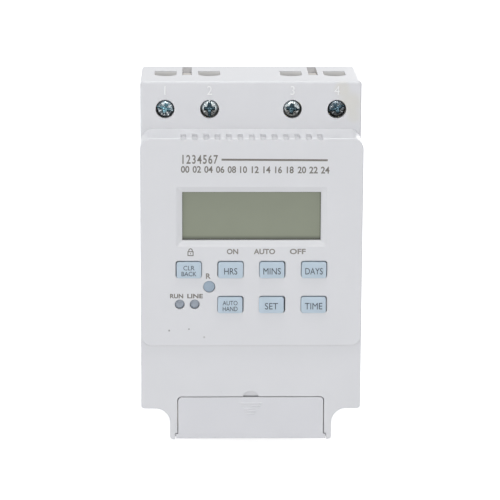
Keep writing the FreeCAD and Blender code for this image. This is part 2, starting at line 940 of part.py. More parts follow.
def lying_part(x, z, size, length, span, lift):
    """Round part on the power board, lying along X, its lead bent down to the board at each end."""
    y = power_face - lift - size / 2
    body = rod(size / 2, V(x - length / 2, y, z), V(x + length / 2, y, z))
    bar = box(x - span / 2, x + span / 2, y - lead / 2, y + lead / 2, z - lead / 2, z + lead / 2)
    legs = []
    for side in SIDES:
        x0, x1 = sorted((x + side * span / 2, x + side * (span / 2 - lead)))
        legs.append(box(x0, x1, y - lead / 2, power_face, z - lead / 2, z + lead / 2))
    return fuse([body, bar] + legs)


def rectifier_diodes():
    """Four diodes side by side."""
    rows = [power_high + diode_first - i * diode_pitch for i in range(4)]
    x = power_left + diode_margin
    return group([lying_part(x, z, diode_size, diode_length, diode_span, 0) for z in rows])


def power_resistor():
    """Round resistor, lifted off the board to stay cool."""
    x, rise = resistor_middle
    return lying_part(x, power_high + rise, resistor_size, resistor_length, resistor_span, resistor_lift)


def varistor():
    """Disc that limits surges, standing on two legs."""
    x, rise = varistor_middle
    z = power_high + rise
    r = varistor_size / 2
    y = power_face - varistor_lift - r
    disc = rod(r, V(x, y, z - varistor_sheet / 2), V(x, y, z + varistor_sheet / 2))
    legs = [rod(lead / 2, V(x + side * r / 2, y, z), V(x + side * r / 2, power_face, z)) for side in SIDES]
    return fuse([disc] + legs)


def link_header():
    """Two pin headers that join the boards."""
    bars = []
    x = pin_pitch * pin_count / 2
    for y in (control_rear, power_face - header):
        bars.append(box(-x, x, y, y + header, pin_row - header / 2, pin_row + header / 2))
    holes = link_pin_bars(pin_thick / 2 + pin_play)
    return group([bar.cut(holes) for bar in bars])


def link_pin_bars(half_thick):
    """Eight square bars from one board to the other, by half their thickness."""
    bars = []
    for i in range(pin_count):
        x = (i - (pin_count - 1) / 2) * pin_pitch
        bars.append(box(x - half_thick, x + half_thick, control_rear, power_face, pin_row - half_thick,
                        pin_row + half_thick))
    return group(bars)


def terminal_cage(x):
    """Brass box terminal, open above and below, with its thread in front and two feet in the board."""
    w = cage_width / 2
    z0 = terminal_z - cage_height / 2
    z1 = terminal_z + cage_height / 2
    cage = box(x - w, x + w, cage_face, cage_rear, z0, z1)
    cage = cage.makeChamfer(root, [edge for edge in cage.Edges if edge.BoundBox.ZLength > cage_height - 0.1])
    cage = cage.cut(box(x - w + cage_side, x + w - cage_side, cage_inner, cage_contact, z0 - 1, z1 + 1))
    cage = cage.cut(rod(shank_size / 2 + pin_play, V(x, cage_face - 1, terminal_z), V(x, cage_inner + 1, terminal_z)))
    feet = []
    for side in SIDES:
        left = x + side * cage_foot_spread - cage_foot / 2
        feet.append(box(left, left + cage_foot, cage_rear - root, power_rear + cage_foot,
                        terminal_z - cage_foot_height / 2, terminal_z + cage_foot_height / 2))
    return fuse([cage] + feet)


def terminal_screw(x, turn):
    """Terminal screw: domed head with slot and cross, shank and the journal that holds the clamp pad."""
    front = terminal_face + head_sink
    shoulder = front + head
    tip = cage_inner + seam
    head_part = rod(head_size / 2, V(x, front, terminal_z), V(x, shoulder, terminal_z))
    head_part = head_part.makeChamfer(head_round, edges_in_plane(head_part, 1, front))
    shank = rod(shank_size / 2, V(x, shoulder - root, terminal_z), V(x, tip, terminal_z))
    end = rod(journal_size / 2, V(x, tip - root, terminal_z), V(x, tip + journal, terminal_z))
    screw = fuse([head_part, shank, end])
    slot = box(x - head_size, x + head_size, front - 1, front + slot_depth, terminal_z - slot_width / 2,
               terminal_z + slot_width / 2)
    level = box(x - cross_length / 2, x + cross_length / 2, front - 1, front + cross_depth,
                terminal_z - cross_width / 2, terminal_z + cross_width / 2)
    upright = box(x - cross_width / 2, x + cross_width / 2, front - 1, front + cross_depth,
                  terminal_z - cross_length / 2, terminal_z + cross_length / 2)
    for cutter in (slot, level, upright):
        cutter.rotate(V(x, 0, terminal_z), INWARD, -turn)
        screw = screw.cut(cutter)
    return screw


def clamp_pad(x):
    """Pressure plate on the screw's tip, ribbed on the side that grips the conductor."""
    w = cage_width / 2 - cage_side - seam
    h = cage_height / 2 - pad_edge
    front = cage_inner + seam
    plate = box(x - w, x + w, front, front + pad, terminal_z - h, terminal_z + h)
    hole = journal_size / 2 + pin_play
    plate = plate.cut(rod(hole, V(x, front - 1, terminal_z), V(x, front + pad + 1, terminal_z)))
    for i in range(-2, 3):
        z = terminal_z + i * pad_rib
        plate = plate.cut(box(x - w - 1, x + w + 1, front + pad - pad_groove_depth, front + pad + 1,
                              z - pad_groove / 2, z + pad_groove / 2))
    return plate


def battery_cell():
    """Small round cell with its button."""
    left = -cell_body / 2 - cell_shift
    right = left + cell_body
    body = rod(cell_size / 2, V(left, cell_y, cell_z), V(right, cell_y, cell_z))
    body = body.makeChamfer(root, edges_in_plane(body, 0, left) + edges_in_plane(body, 0, right))
    button = rod(button_size / 2, V(right - root, cell_y, cell_z), V(right + cell_button, cell_y, cell_z))
    return fuse([body, button])


def positive_contact():
    """Flat plate with a pressed dimple that meets the button."""
    outer = door_width / 2 + door_gap - pin_play
    button = cell_body / 2 - cell_shift + cell_button
    h = leaf_half
    plate = box(outer - leaf, outer, cell_y - h, cell_y + h, cell_z - h, cell_z + h)
    r = button_size / 2
    dimple = Part.makeCone(r + leaf, r - leaf, outer - leaf - button, V(outer - leaf, cell_y, cell_z), V(-1, 0, 0))
    return fuse([plate, dimple])


def negative_contact():
    """Spring leaf bent out from its plate to press on the cell's base."""
    outer = -door_width / 2 - door_gap + pin_play
    crest = -cell_body / 2 - cell_shift
    h = leaf_half
    plate = box(outer, outer + leaf, cell_y - h, cell_y + h, cell_z - h, cell_z + h)
    z = cell_z - leaf_tongue
    x = outer + leaf / 2
    bow = Part.Arc(V(x, cell_y - h, z), V(crest, cell_y, z), V(x, cell_y + h, z)).toShape()
    inset = h - 2 * leaf
    hollow = Part.Arc(V(x, cell_y - inset, z), V(crest - leaf, cell_y, z), V(x, cell_y + inset, z)).toShape()
    ends = [Part.LineSegment(V(x, cell_y + side * h, z), V(x, cell_y + side * inset, z)).toShape() for side in SIDES]
    section = Part.Face(Part.Wire([bow, ends[1], hollow, ends[0]]))
    return fuse([plate, section.extrude(V(0, 0, 2 * leaf_tongue))])


def upper_foot_corners(inset):
    """Corners of the foot above the rail, drawn in by inset."""
    x = half - foot_inset - inset
    return rectangle(-x, x, rail_edge + inset, top - foot_inset - inset, root, max(foot_corner - inset, root))


def lower_foot_corners(inset):
    """Corners of the foot below the rail, with the casing's notches."""
    x = half - foot_inset - inset
    t = -rail_edge - inset
    n = notch_top + foot_end + inset
    g = tongue - foot_end - inset
    b = bottom + foot_end + inset
    return [(-x, t, root), (x, t, root), (x, n, notch_corner), (g, n, foot_corner),
            (g, b, root), (-g, b, root), (-g, n, foot_corner), (-x, n, notch_corner)]


def keyhole_pocket():
    """Closed pocket behind the keyhole, so that a screw's head never meets the circuits."""
    x = keyhole_size / 2 + pocket_play
    low = keyhole_z - x
    high = keyhole_z + keyhole_rise + keyhole_size / 2
    outer = box(-x - pocket_wall, x + pocket_wall, -base_floor - pocket - pocket_wall, -base_floor + root,
                low - pocket_wall, high + pocket_wall)
    inner = box(-x, x, -base_floor - pocket, -base_floor, low, high)
    return outer, inner


def keyhole():
    """Round entry with a slot above it, through the foot's back wall."""
    front = -base_floor - root
    high = keyhole_z + keyhole_rise
    r = keyhole_slot / 2
    entry = rod(keyhole_size / 2, V(0, front, keyhole_z), V(0, 1, keyhole_z))
    slot = box(-r, r, front, 1, keyhole_z, high)
    end = rod(r, V(0, front, high), V(0, 1, high))
    return fuse([entry, slot, end])


def rear_base():
    """Back of the casing: floor, rim, two hollow feet, rail hooks, latch channel and screw ears."""
    plate = slab(case_corners(half, top, seam, top_corner), base_front, base_back)
    inset = wall + fit_gap
    rim = slab(case_corners(half, top, inset, top_corner), base_front - rim_height, base_front + root)
    hollow = slab(case_corners(half, top, inset + rim_sheet, top_corner), base_front - rim_height - 1, base_front + 1)
    upper = slab(upper_foot_corners(0), base_back - root, 0)
    lower = slab(lower_foot_corners(0), base_back - root, 0)
    body = fuse([plate, rim.cut(hollow), upper, lower] + screw_ears())
    body = body.cut(slab(upper_foot_corners(wall), base_front - 1, -base_floor))
    chamber = slab(lower_foot_corners(wall), base_front - 1, -base_floor)
    middle = latch_width / 2 + fit_gap + wall
    chamber = chamber.cut(box(-middle, middle, base_front - 5, 1, bottom - 1, 0))
    body = body.cut(chamber)
    outer, inner = keyhole_pocket()
    adds = [outer] + screw_wells() + power_posts() + snap_arms() + rail_hooks()
    body = fuse([body] + adds)
    body = body.cut(inner)
    body = body.cut(keyhole())
    body = body.cut(latch_channel())
    body = fuse([body] + latch_guides())
    for x, z in case_screw_places():
        body = body.cut(rod(case_well_bore / 2, V(x, base_back, z), V(x, 1, z)))
        body = body.cut(rod(case_shank / 2 + fit_gap, V(x, base_front - 1, z), V(x, 1, z)))
    for side in SIDES:
        x = side * (half - ear_margin)
        z = bottom + ear_rise
        body = body.cut(rod(ear_hole / 2, V(x, -ear_sheet - 1, z), V(x, 1, z)))
    for x, z in power_boss_places():
        body = body.cut(rod(power_shank / 2, V(x, power_rear - 1, z), V(x, power_rear + power_thread + root, z)))
    return body


def screw_ears():
    """Plates in the plane of the wall behind the two notches."""
    ears = []
    for side in SIDES:
        x0, x1 = sorted((side * (tongue - ear_overlap), side * (half - ear_edge)))
        low = bottom + foot_end
        ears.append(slab(rectangle(x0, x1, low, notch_top + ear_overlap, ear_corner), -ear_sheet, 0))
    return ears


def screw_wells():
    """Round wells in the lower foot for the two case screws."""
    return [rod(case_well / 2, V(x, base_front, z), V(x, 0, z)) for x, z in case_screw_places()]


def power_posts():
    """Four posts under the power board, from the feet's back walls or the floor."""
    return [rod(power_post / 2, V(x, power_rear, z), V(x, -base_floor + root, z)) for x, z in power_boss_places()]


def snap_arms():
    """Two sprung arms under the top wall with barbs that fill the front of their windows."""
    arms = []
    front = base_front - window_back - window_length + seam
    barb_back = front + snap_barb
    low = top - wall - snap_drop - snap_arm
    high = top - wall - snap_drop
    crest = top - snap_drop
    for side in SIDES:
        x = side * snap_x
        points = [(base_front + root, low), (base_front + root, high), (barb_back, high), (barb_back, crest),
                  (front + snap_slope, crest), (front, high), (front, low)]
        corners = [V(x - snap_width / 2, y, z) for y, z in points]
        profile = Part.Face(Part.makePolygon(corners + [corners[0]]))
        arms.append(profile.extrude(V(snap_width, 0, 0)))
    return arms


def rail_hooks():
    """Two fixed hooks that reach behind the rail's upper edge."""
    hooks = []
    front = base_back + flange_room
    for side in SIDES:
        x = side * hook_x
        tip = rail_edge - hook_reach
        points = [(front, rail_edge + root), (front, tip), (front + hook - root, tip),
                  (front + hook + root, rail_edge), (front + hook + root, rail_edge + root)]
        corners = [V(x - hook_length / 2, y, z) for y, z in points]
        profile = Part.Face(Part.makePolygon(corners + [corners[0]]))
        hooks.append(profile.extrude(V(hook_length, 0, 0)))
    return hooks


def latch_channel():
    """Groove for the latch down the middle of the lower foot."""
    x = latch_width / 2 + fit_gap
    return box(-x, x, base_back, 1, bottom - 1, -rail_edge + 1)


def latch_guides():
    """Lips that trap the latch in its groove, and the post that the spring stands on."""
    x = latch_width / 2 + fit_gap
    y0 = base_back + fit_gap + latch_sheet + fit_gap
    lips = []
    for side in SIDES:
        x0, x1 = sorted((side * (x - guide_lip), side * (x + root)))
        lips.append(box(x0, x1, y0, y0 + guide_sheet, bottom + foot_end + guide_low, -rail_edge - guide_high))
    width, sheet = spring_post
    rear = base_back + latch_sheet - latch_play
    post = box(-width / 2, width / 2, base_back - root, rear, spring_foot() - sheet, spring_foot())
    return lips + [post]


def spring_foot():
    """Height of the post's top, on which the spring stands."""
    return -rail_edge - spring_drop - spring_length


def spring_y():
    """Depth of the spring's axis."""
    return base_back + seam + spring_size / 2


def din_latch():
    """Sprung latch: nose for the rail's lower edge, window for the spring and an eye for a screwdriver."""
    x = latch_width / 2
    y0 = base_back + fit_gap
    y1 = y0 + latch_sheet
    low = bottom + foot_end - fit_gap
    high = -rail_edge - fit_gap
    body = slab(rectangle(-x, x, low, high, latch_corner), y0, y1)
    front = base_back + flange_room
    tip = -rail_edge + hook_reach
    nose_x = x - latch_cheek
    points = [(front, high - 1), (front, tip), (front + root, tip), (y1, high), (y1, high - 1)]
    corners = [V(-nose_x, y, z) for y, z in points]
    nose = Part.Face(Part.makePolygon(corners + [corners[0]])).extrude(V(2 * nose_x, 0, 0))
    body = fuse([body, nose])
    roof = spring_foot() + spring_length + 2 * pin_play
    floor = spring_foot() - spring_post[1] - seam
    w = spring_window / 2
    cuts = [slab(rectangle(-w, w, floor, roof, root), y0 - 1, y1 + 1)]
    width, rise, height = latch_eye
    cuts.append(box(-width / 2, width / 2, y0 - 1, y1 + 1, low + rise, low + rise + height))
    shoulders = guide_lip + latch_play
    for side in SIDES:
        x0, x1 = sorted((side * (x - shoulders), side * (x + 1)))
        cuts.append(box(x0, x1, y1 - latch_relief, y1 + 1, low - 1, high + fit_gap))
    width, first, pitch, height = latch_grip
    for i in range(latch_grips):
        z = low + first + i * pitch
        cuts.append(box(-width / 2, width / 2, y1 - latch_relief, y1 + 1, z, z + height))
    for cutter in cuts:
        body = body.cut(cutter)
    return body


def arc_from(start, tangent, end):
    """Arc from one point to another that leaves along a given tangent."""
    chord = end.sub(start)
    length = chord.Length
    along = chord.normalize()
    side = tangent.sub(V(along).multiply(tangent.dot(along))).normalize()
    rise = length / 2 * math.tan(tangent.getAngle(along) / 2)
    middle = start.add(V(along).multiply(length / 2)).add(side.multiply(rise))
    return Part.Arc(start, middle, end).toShape()


def biarc(start, start_run, end, end_run):
    """Two arcs that join two points and share a tangent where they meet."""
    gap = end.sub(start)
    runs = gap.dot(start_run.add(end_run))
    spread = 2 * (1 - start_run.dot(end_run))
    reach = (math.sqrt(runs ** 2 + spread * gap.dot(gap)) - runs) / spread
    meet = start.add(end).add(start_run.sub(end_run).multiply(reach)).multiply(0.5)
    return [arc_from(start, start_run, meet), arc_from(end, V(end_run).multiply(-1), meet)]


def latch_spring():
    """Compression spring: one unbroken tube along a helix made of biarcs, a quarter turn each."""
    radius = (spring_size - spring_wire) / 2
    pitch = (spring_length - spring_wire) / spring_turns
    z0 = spring_foot() + pin_play + spring_wire / 2
    steps = 4 * spring_turns
    places = []
    runs = []
    for i in range(steps + 1):
        angle = math.pi / 2 * i
        places.append(V(radius * math.cos(angle), spring_y() + radius * math.sin(angle), z0 + pitch * i / 4))
        run = V(-radius * math.sin(angle), radius * math.cos(angle), pitch / (2 * math.pi))
        runs.append(run.normalize())
    arcs = []
    for i in range(steps):
        arcs += biarc(places[i], runs[i], places[i + 1], runs[i + 1])
    path = Part.Wire(Part.__sortEdges__(arcs))
    ring = Part.Wire([Part.Circle(places[0], runs[0], spring_wire / 2).toShape()])
    print("spring gap between turns", round(pitch - spring_wire, 2))
    return path.makePipeShell([ring], True, False)


def case_screw(x, z):
    """Self-tapping screw from behind through the base into the housing's post."""
    rear = base_back + case_head_height
    head_part = rod(case_head / 2, V(x, base_back, z), V(x, rear, z))
    shank = rod(case_shank / 2 - pin_play, V(x, base_front - case_thread, z), V(x, base_back + root, z))
    a = case_bit_length / 2
    b = case_bit_width / 2
    level = box(x - a, x + a, rear - case_bit_width, rear + 1, z - b, z + b)
    upright = box(x - b, x + b, rear - case_bit_width, rear + 1, z - a, z + a)
    return fuse([head_part, shank]).cut(level).cut(upright)


save("front_housing", front_housing())
save("fascia", fascia())
save("rear_base", rear_base())
for key_name, key_x, key_z in key_places():
    save(key_name, rectangular_key(key_x, key_z))
save("key_clear", clear_key())
save("keypad_web", keypad_web())
for lamp_name, place in zip(("lamp_work", "lamp_power"), lamp_places()):
    save(lamp_name, signal_lamp(place))
save("lcd_panel", lcd_panel())
save("lcd_holder", lcd_holder())
save("lcd_contact_strips", contact_strips())
save("control_board", control_board())
save("controller_chip", controller_chip())
save("clock_crystal", crystal())
save("control_board_screws", group([small_screw(x, z) for x, z in boss_places()]))
save("power_board", power_board())
save("power_board_screws", group([power_screw(x, z) for x, z in power_boss_places()]))
save("relay", relay())
save("suppression_capacitor", suppression_capacitor())
save("electrolytic_capacitors", electrolytic_capacitors())
save("rectifier_diodes", rectifier_diodes())
save("power_resistor", power_resistor())
save("varistor", varistor())
save("link_headers", link_header())
save("link_pins", link_pin_bars(pin_thick / 2))
for number in range(4):
    label = "_" + str(number + 1)
    save("terminal_cage" + label, terminal_cage(terminal_x[number]))
    save("terminal_screw" + label, terminal_screw(terminal_x[number], terminal_turn[number]))
    save("clamp_pad" + label, clamp_pad(terminal_x[number]))
save("battery_cell", battery_cell())
save("battery_contact_plus", positive_contact())
save("battery_contact_minus", negative_contact())
save("battery_door", battery_door())
save("din_latch", din_latch())
save("latch_spring", latch_spring())
save("case_screws", group([case_screw(x, z) for x, z in case_screw_places()]))
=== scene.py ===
# Weekly time switch for a rail or a wall: the looks of its casing, keys, display, terminals and back.
# Metres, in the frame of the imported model: X to the right, Y into the wall, Z up.
import math

import bmesh
import bpy
import numpy as np
from mathutils import Matrix, Vector


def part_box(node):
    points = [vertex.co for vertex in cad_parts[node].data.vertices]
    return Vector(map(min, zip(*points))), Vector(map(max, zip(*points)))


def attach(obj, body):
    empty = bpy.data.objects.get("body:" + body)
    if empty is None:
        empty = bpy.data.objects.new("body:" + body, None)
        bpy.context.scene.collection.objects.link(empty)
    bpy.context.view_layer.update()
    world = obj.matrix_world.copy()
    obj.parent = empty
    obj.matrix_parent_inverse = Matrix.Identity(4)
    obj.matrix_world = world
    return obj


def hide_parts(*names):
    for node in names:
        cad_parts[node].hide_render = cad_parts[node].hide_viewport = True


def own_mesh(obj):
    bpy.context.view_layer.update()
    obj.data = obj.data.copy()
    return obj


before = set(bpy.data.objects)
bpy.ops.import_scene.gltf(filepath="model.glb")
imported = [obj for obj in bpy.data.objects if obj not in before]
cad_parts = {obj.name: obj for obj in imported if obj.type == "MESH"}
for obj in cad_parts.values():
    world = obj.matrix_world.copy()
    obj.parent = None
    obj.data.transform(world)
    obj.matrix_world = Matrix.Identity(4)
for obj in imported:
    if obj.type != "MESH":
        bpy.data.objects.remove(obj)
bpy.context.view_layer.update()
MM = 0.001

# Studio: the object stands just clear of a pale table, so that its door can open, in front of a white wall, and is
# seen from a little above by a long lens. Soft boxes hang above, in front, at the left and behind, the room is
# evenly pale, and a black cloth hangs behind the camera.
case_low, case_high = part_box("front_housing")


def linear(code, share=1.0):
    """Linear colour of an sRGB hex code, times a share."""
    values = [int(code[i:i + 2], 16) / 255 for i in (1, 3, 5)]
    plain = [v / 12.92 if v <= 0.04045 else ((v + 0.055) / 1.055) ** 2.4 for v in values]
    return [min(v * share, 1.0) for v in plain] + [1.0]


def join(tree, node, links=(), values=()):
    """Sets values on a node's sockets and links other sockets from nodes' outputs."""
    for socket, value in dict(values).items():
        node.inputs[socket].default_value = value
    for socket, source in dict(links).items():
        tree.links.new(source, node.inputs[socket])
    return node


def add(tree, kind, links=(), values=(), **settings):
    """Adds one node with its own settings, values on its sockets and links from other nodes' outputs."""
    new = tree.nodes.new(kind)
    for name, value in settings.items():
        setattr(new, name, value)
    return join(tree, new, links, values)


def new_material(name):
    """Material with its tree of nodes, its main shader and the output of the place on the object, in metres."""
    material = bpy.data.materials.new(name)
    material.use_nodes = True
    tree = material.node_tree
    return material, tree, tree.nodes["Principled BSDF"], add(tree, "ShaderNodeTexCoord").outputs["Object"]


def put(name, data):
    """Object for some data, put in the scene."""
    piece = bpy.data.objects.new(name, data)
    bpy.context.scene.collection.objects.link(piece)
    return piece


def mesh_object(name, points, faces, smooth_below=40.0):
    """Object from arrays of points and faces, its faces turned outwards and its soft edges shaded smooth."""
    mesh = bpy.data.meshes.new(name)
    mesh.from_pydata(np.asarray(points).tolist(), [], [list(face) for face in faces])
    form = bmesh.new()
    form.from_mesh(mesh)
    bmesh.ops.remove_doubles(form, verts=form.verts, dist=1e-7)
    bmesh.ops.recalc_face_normals(form, faces=form.faces)
    form.to_mesh(mesh)
    form.free()
    mesh.shade_smooth()
    mesh.set_sharp_from_angle(angle=math.radians(smooth_below))
    return put(name, mesh)


camera_place = Vector((-0.0200, -0.8585, 0.1844))
camera_yaw, camera_pitch, camera_roll = -1.395, -12.582, -0.252
camera_data = bpy.data.cameras.new("camera")
camera_data.lens = 177.9
camera_data.sensor_width = 36.0
camera_data.clip_end = 20.0
camera = put("camera", camera_data)
turn = Matrix.Identity(4)
for angle, axis in ((camera_yaw, "Z"), (camera_pitch, "X"), (camera_roll, "Y"), (90.0, "X")):
    turn = turn @ Matrix.Rotation(math.radians(angle), 4, axis)
camera.matrix_world = Matrix.Translation(camera_place) @ turn
bpy.context.scene.camera = camera
bpy.context.scene.view_settings.view_transform = "Standard"


def sees(tree, *rays):
    """Output that is one for these kinds of ray and zero for all others."""
    paths = add(tree, "ShaderNodeLightPath")
    seen = paths.outputs[rays[0]]
    for ray in rays[1:]:
        seen = add(tree, "ShaderNodeMath", {0: seen, 1: paths.outputs[ray]}, operation="MAXIMUM").outputs[0]
    return seen


table_half, table_drop = 3.0, 3.7 * MM
table_z = case_low.z - table_drop
table = mesh_object("table", [(x, y, table_z) for x, y in ((-table_half, -table_half), (table_half, -table_half),
                                                           (table_half, table_half), (-table_half, table_half))],
                    [(0, 1, 2, 3)])
# Matt paper, overexposed to white where the camera looks at it.
table_paper, tree = new_material("matt_white_paper")[:2]
tree.nodes.clear()
seen = sees(tree, "Is Camera Ray", "Is Glossy Ray")
paper = add(tree, "ShaderNodeBsdfDiffuse", values={"Color": linear("#e9e9e9")})
glow = add(tree, "ShaderNodeEmission", values={"Color": linear("#ffffff"), "Strength": 0.82})
dark = add(tree, "ShaderNodeEmission", values={"Strength": 0.0})
lift = add(tree, "ShaderNodeMixShader", {0: seen, 1: dark.outputs[0], 2: glow.outputs[0]})
both = add(tree, "ShaderNodeAddShader", {0: paper.outputs[0], 1: lift.outputs[0]})
add(tree, "ShaderNodeOutputMaterial", {"Surface": both.outputs[0]})
table.data.materials.append(table_paper)

room = bpy.data.worlds.new("pale_room")
bpy.context.scene.world = room
room.use_nodes = True
tree = room.node_tree
tree.nodes.clear()
seen = sees(tree, "Is Camera Ray", "Is Glossy Ray", "Is Transmission Ray")
walls = add(tree, "ShaderNodeBackground", values={"Color": linear("#ffffff"), "Strength": 1.0})
ambient = add(tree, "ShaderNodeBackground", values={"Color": linear("#f4f8ff"), "Strength": 0.58})
mixed = add(tree, "ShaderNodeMixShader", {0: seen, 1: ambient.outputs[0], 2: walls.outputs[0]})
add(tree, "ShaderNodeOutputWorld", {"Surface": mixed.outputs[0]})

for name, place, size, power, colour in (
        ("soft_box_above", Vector((0.0, -0.3, 1.4)), 0.35, 5.7, "#fffefc"),
        ("soft_box_front", Vector((0.02, -1.3, 0.47)), 0.35, 4.4, "#fffefc"),
        ("soft_box_left", Vector((-1.2, -1.1, 0.35)), 0.7, 2.4, "#fbfcff"),
        ("soft_box_behind", Vector((0.5, 1.4, 0.15)), 0.7, 2.0, "#fffefc")):
    data = bpy.data.lights.new(name, "AREA")
    data.size, data.energy, data.color = size, power, linear(colour)[:3]
    put(name, data).matrix_world = Matrix.Translation(place) @ place.to_track_quat("Z", "Y").to_matrix().to_4x4()

dark_half, dark_y, dark_low, dark_high = 1.1, -1.75, -0.02, 1.5
dark_wall = mesh_object("dark_wall", [(x, dark_y, z) for x, z in ((-dark_half, dark_low), (dark_half, dark_low),
                                                                  (dark_half, dark_high), (-dark_half, dark_high))],
                        [(0, 1, 2, 3)])
# Black cloth, which gives the metal something dark to mirror.
dark_cloth, tree, shader = new_material("black_cloth")[:3]
join(tree, shader, values={"Base Color": linear("#1c1c1e"), "Roughness": 0.9})
dark_wall.data.materials.append(dark_cloth)
dark_wall.visible_camera = False

# Casing: injection-moulded ABS in a cool off-white, satin from a finely eroded mould.
# The front housing carries numbers raised from the mould above the four terminal screws, coloured white as painted
# highlight.


def specked(tree, place, colour, strength):
    """Specks of dust: dots of 0.1 to 0.25 mm, at one in five of the points of an uneven grid of 9 mm."""
    gap, core, edge = 9 * MM, 0.012, 0.028
    dots = add(tree, "ShaderNodeTexVoronoi", {"Vector": place}, {"Scale": 1 / gap})
    near = add(tree, "ShaderNodeMapRange", {"Value": dots.outputs["Distance"]},
               {"From Min": core, "From Max": edge, "To Min": strength, "To Max": 0.0})
    rare = add(tree, "ShaderNodeSeparateColor", {0: dots.outputs["Color"]})
    chosen = add(tree, "ShaderNodeMath", {0: rare.outputs[0]}, {1: 0.8}, operation="GREATER_THAN")
    amount = add(tree, "ShaderNodeMath", {0: near.outputs[0], 1: chosen.outputs[0]}, operation="MULTIPLY")
    return add(tree, "ShaderNodeMix", {"Factor": amount.outputs[0], 6: colour}, {7: linear("#8a857a")},
               data_type="RGBA").outputs[2]


def blotted(tree, place, colour, blots):
    """Dirt marks, given as place and radius in millimetres, colour and strength. Each is full to 0.3 of its radius
    and fades from there to its edge."""
    full = 0.3
    for spot, radius, dirt, strength in blots:
        away = add(tree, "ShaderNodeVectorMath", {0: place}, {1: [v * MM for v in spot]}, operation="DISTANCE")
        faded = add(tree, "ShaderNodeMapRange", {"Value": away.outputs["Value"]},
                    {"From Min": radius * MM * full, "From Max": radius * MM, "To Min": strength, "To Max": 0.0},
                    interpolation_type="SMOOTHSTEP")
        colour = add(tree, "ShaderNodeMix", {"Factor": faded.outputs[0], 6: colour}, {7: linear(dirt)},
                     data_type="RGBA").outputs[2]
    return colour


def pocketed(tree, place, colour, pocket_light_and_shade):
    """Painted light and shade inside the top: the wire entries are coloured lighter near their mouths, as painted
    light, and greyer further down, as painted shade, and the snap windows are coloured darker, as painted shade."""
    window_middle, window_half = 21.3 * MM, 2.9 * MM
    side_wall, rim, deepest, front_wall, back_wall = 1.0 * MM, 0.25 * MM, 12.0 * MM, 16.0 * MM, 1.5 * MM
    lit_depth, shade_depth, deep_shade_share = 0.5 * MM, 1.7 * MM, 0.8
    axes = add(tree, "ShaderNodeSeparateXYZ", {0: place})
    across = add(tree, "ShaderNodeMath", {0: axes.outputs["X"]}, operation="ABSOLUTE")
    inside = None
    for source, limit, test in ((across.outputs[0], case_high.x - side_wall, "LESS_THAN"),
                                (axes.outputs["Z"], case_high.z - rim, "LESS_THAN"),
                                (axes.outputs["Z"], case_high.z - deepest, "GREATER_THAN"),
                                (axes.outputs["Y"], case_low.y + front_wall, "GREATER_THAN"),
                                (axes.outputs["Y"], case_high.y - back_wall, "LESS_THAN")):
        within = add(tree, "ShaderNodeMath", {0: source}, {1: limit}, operation=test).outputs[0]
        inside = within if inside is None else add(tree, "ShaderNodeMath", {0: inside, 1: within},
                                                   operation="MULTIPLY").outputs[0]
    down = add(tree, "ShaderNodeMapRange", {"Value": axes.outputs["Z"]},
               {"From Min": case_high.z - shade_depth, "From Max": case_high.z - lit_depth})
    hook = add(tree, "ShaderNodeMath", {0: across.outputs[0]}, {1: window_middle}, operation="SUBTRACT")
    hook = add(tree, "ShaderNodeMath", {0: hook.outputs[0]}, operation="ABSOLUTE")
    # Painted light and shade: the entries' colour greys with depth, and the snap windows take a darker colour.
    for wall, test, deep in zip(pocket_light_and_shade, ("GREATER_THAN", "LESS_THAN"), (deep_shade_share, 1.0)):
        side = add(tree, "ShaderNodeMath", {0: hook.outputs[0]}, {1: window_half}, operation=test)
        share = add(tree, "ShaderNodeMath", {0: inside, 1: side.outputs[0]}, operation="MULTIPLY")
        shade = add(tree, "ShaderNodeMix", {"Factor": down.outputs[0]}, {6: linear(wall, deep), 7: linear(wall)},
                    data_type="RGBA")
        colour = add(tree, "ShaderNodeMix", {"Factor": share.outputs[0], 6: colour, 7: shade.outputs[2]},
                     data_type="RGBA").outputs[2]
    return colour


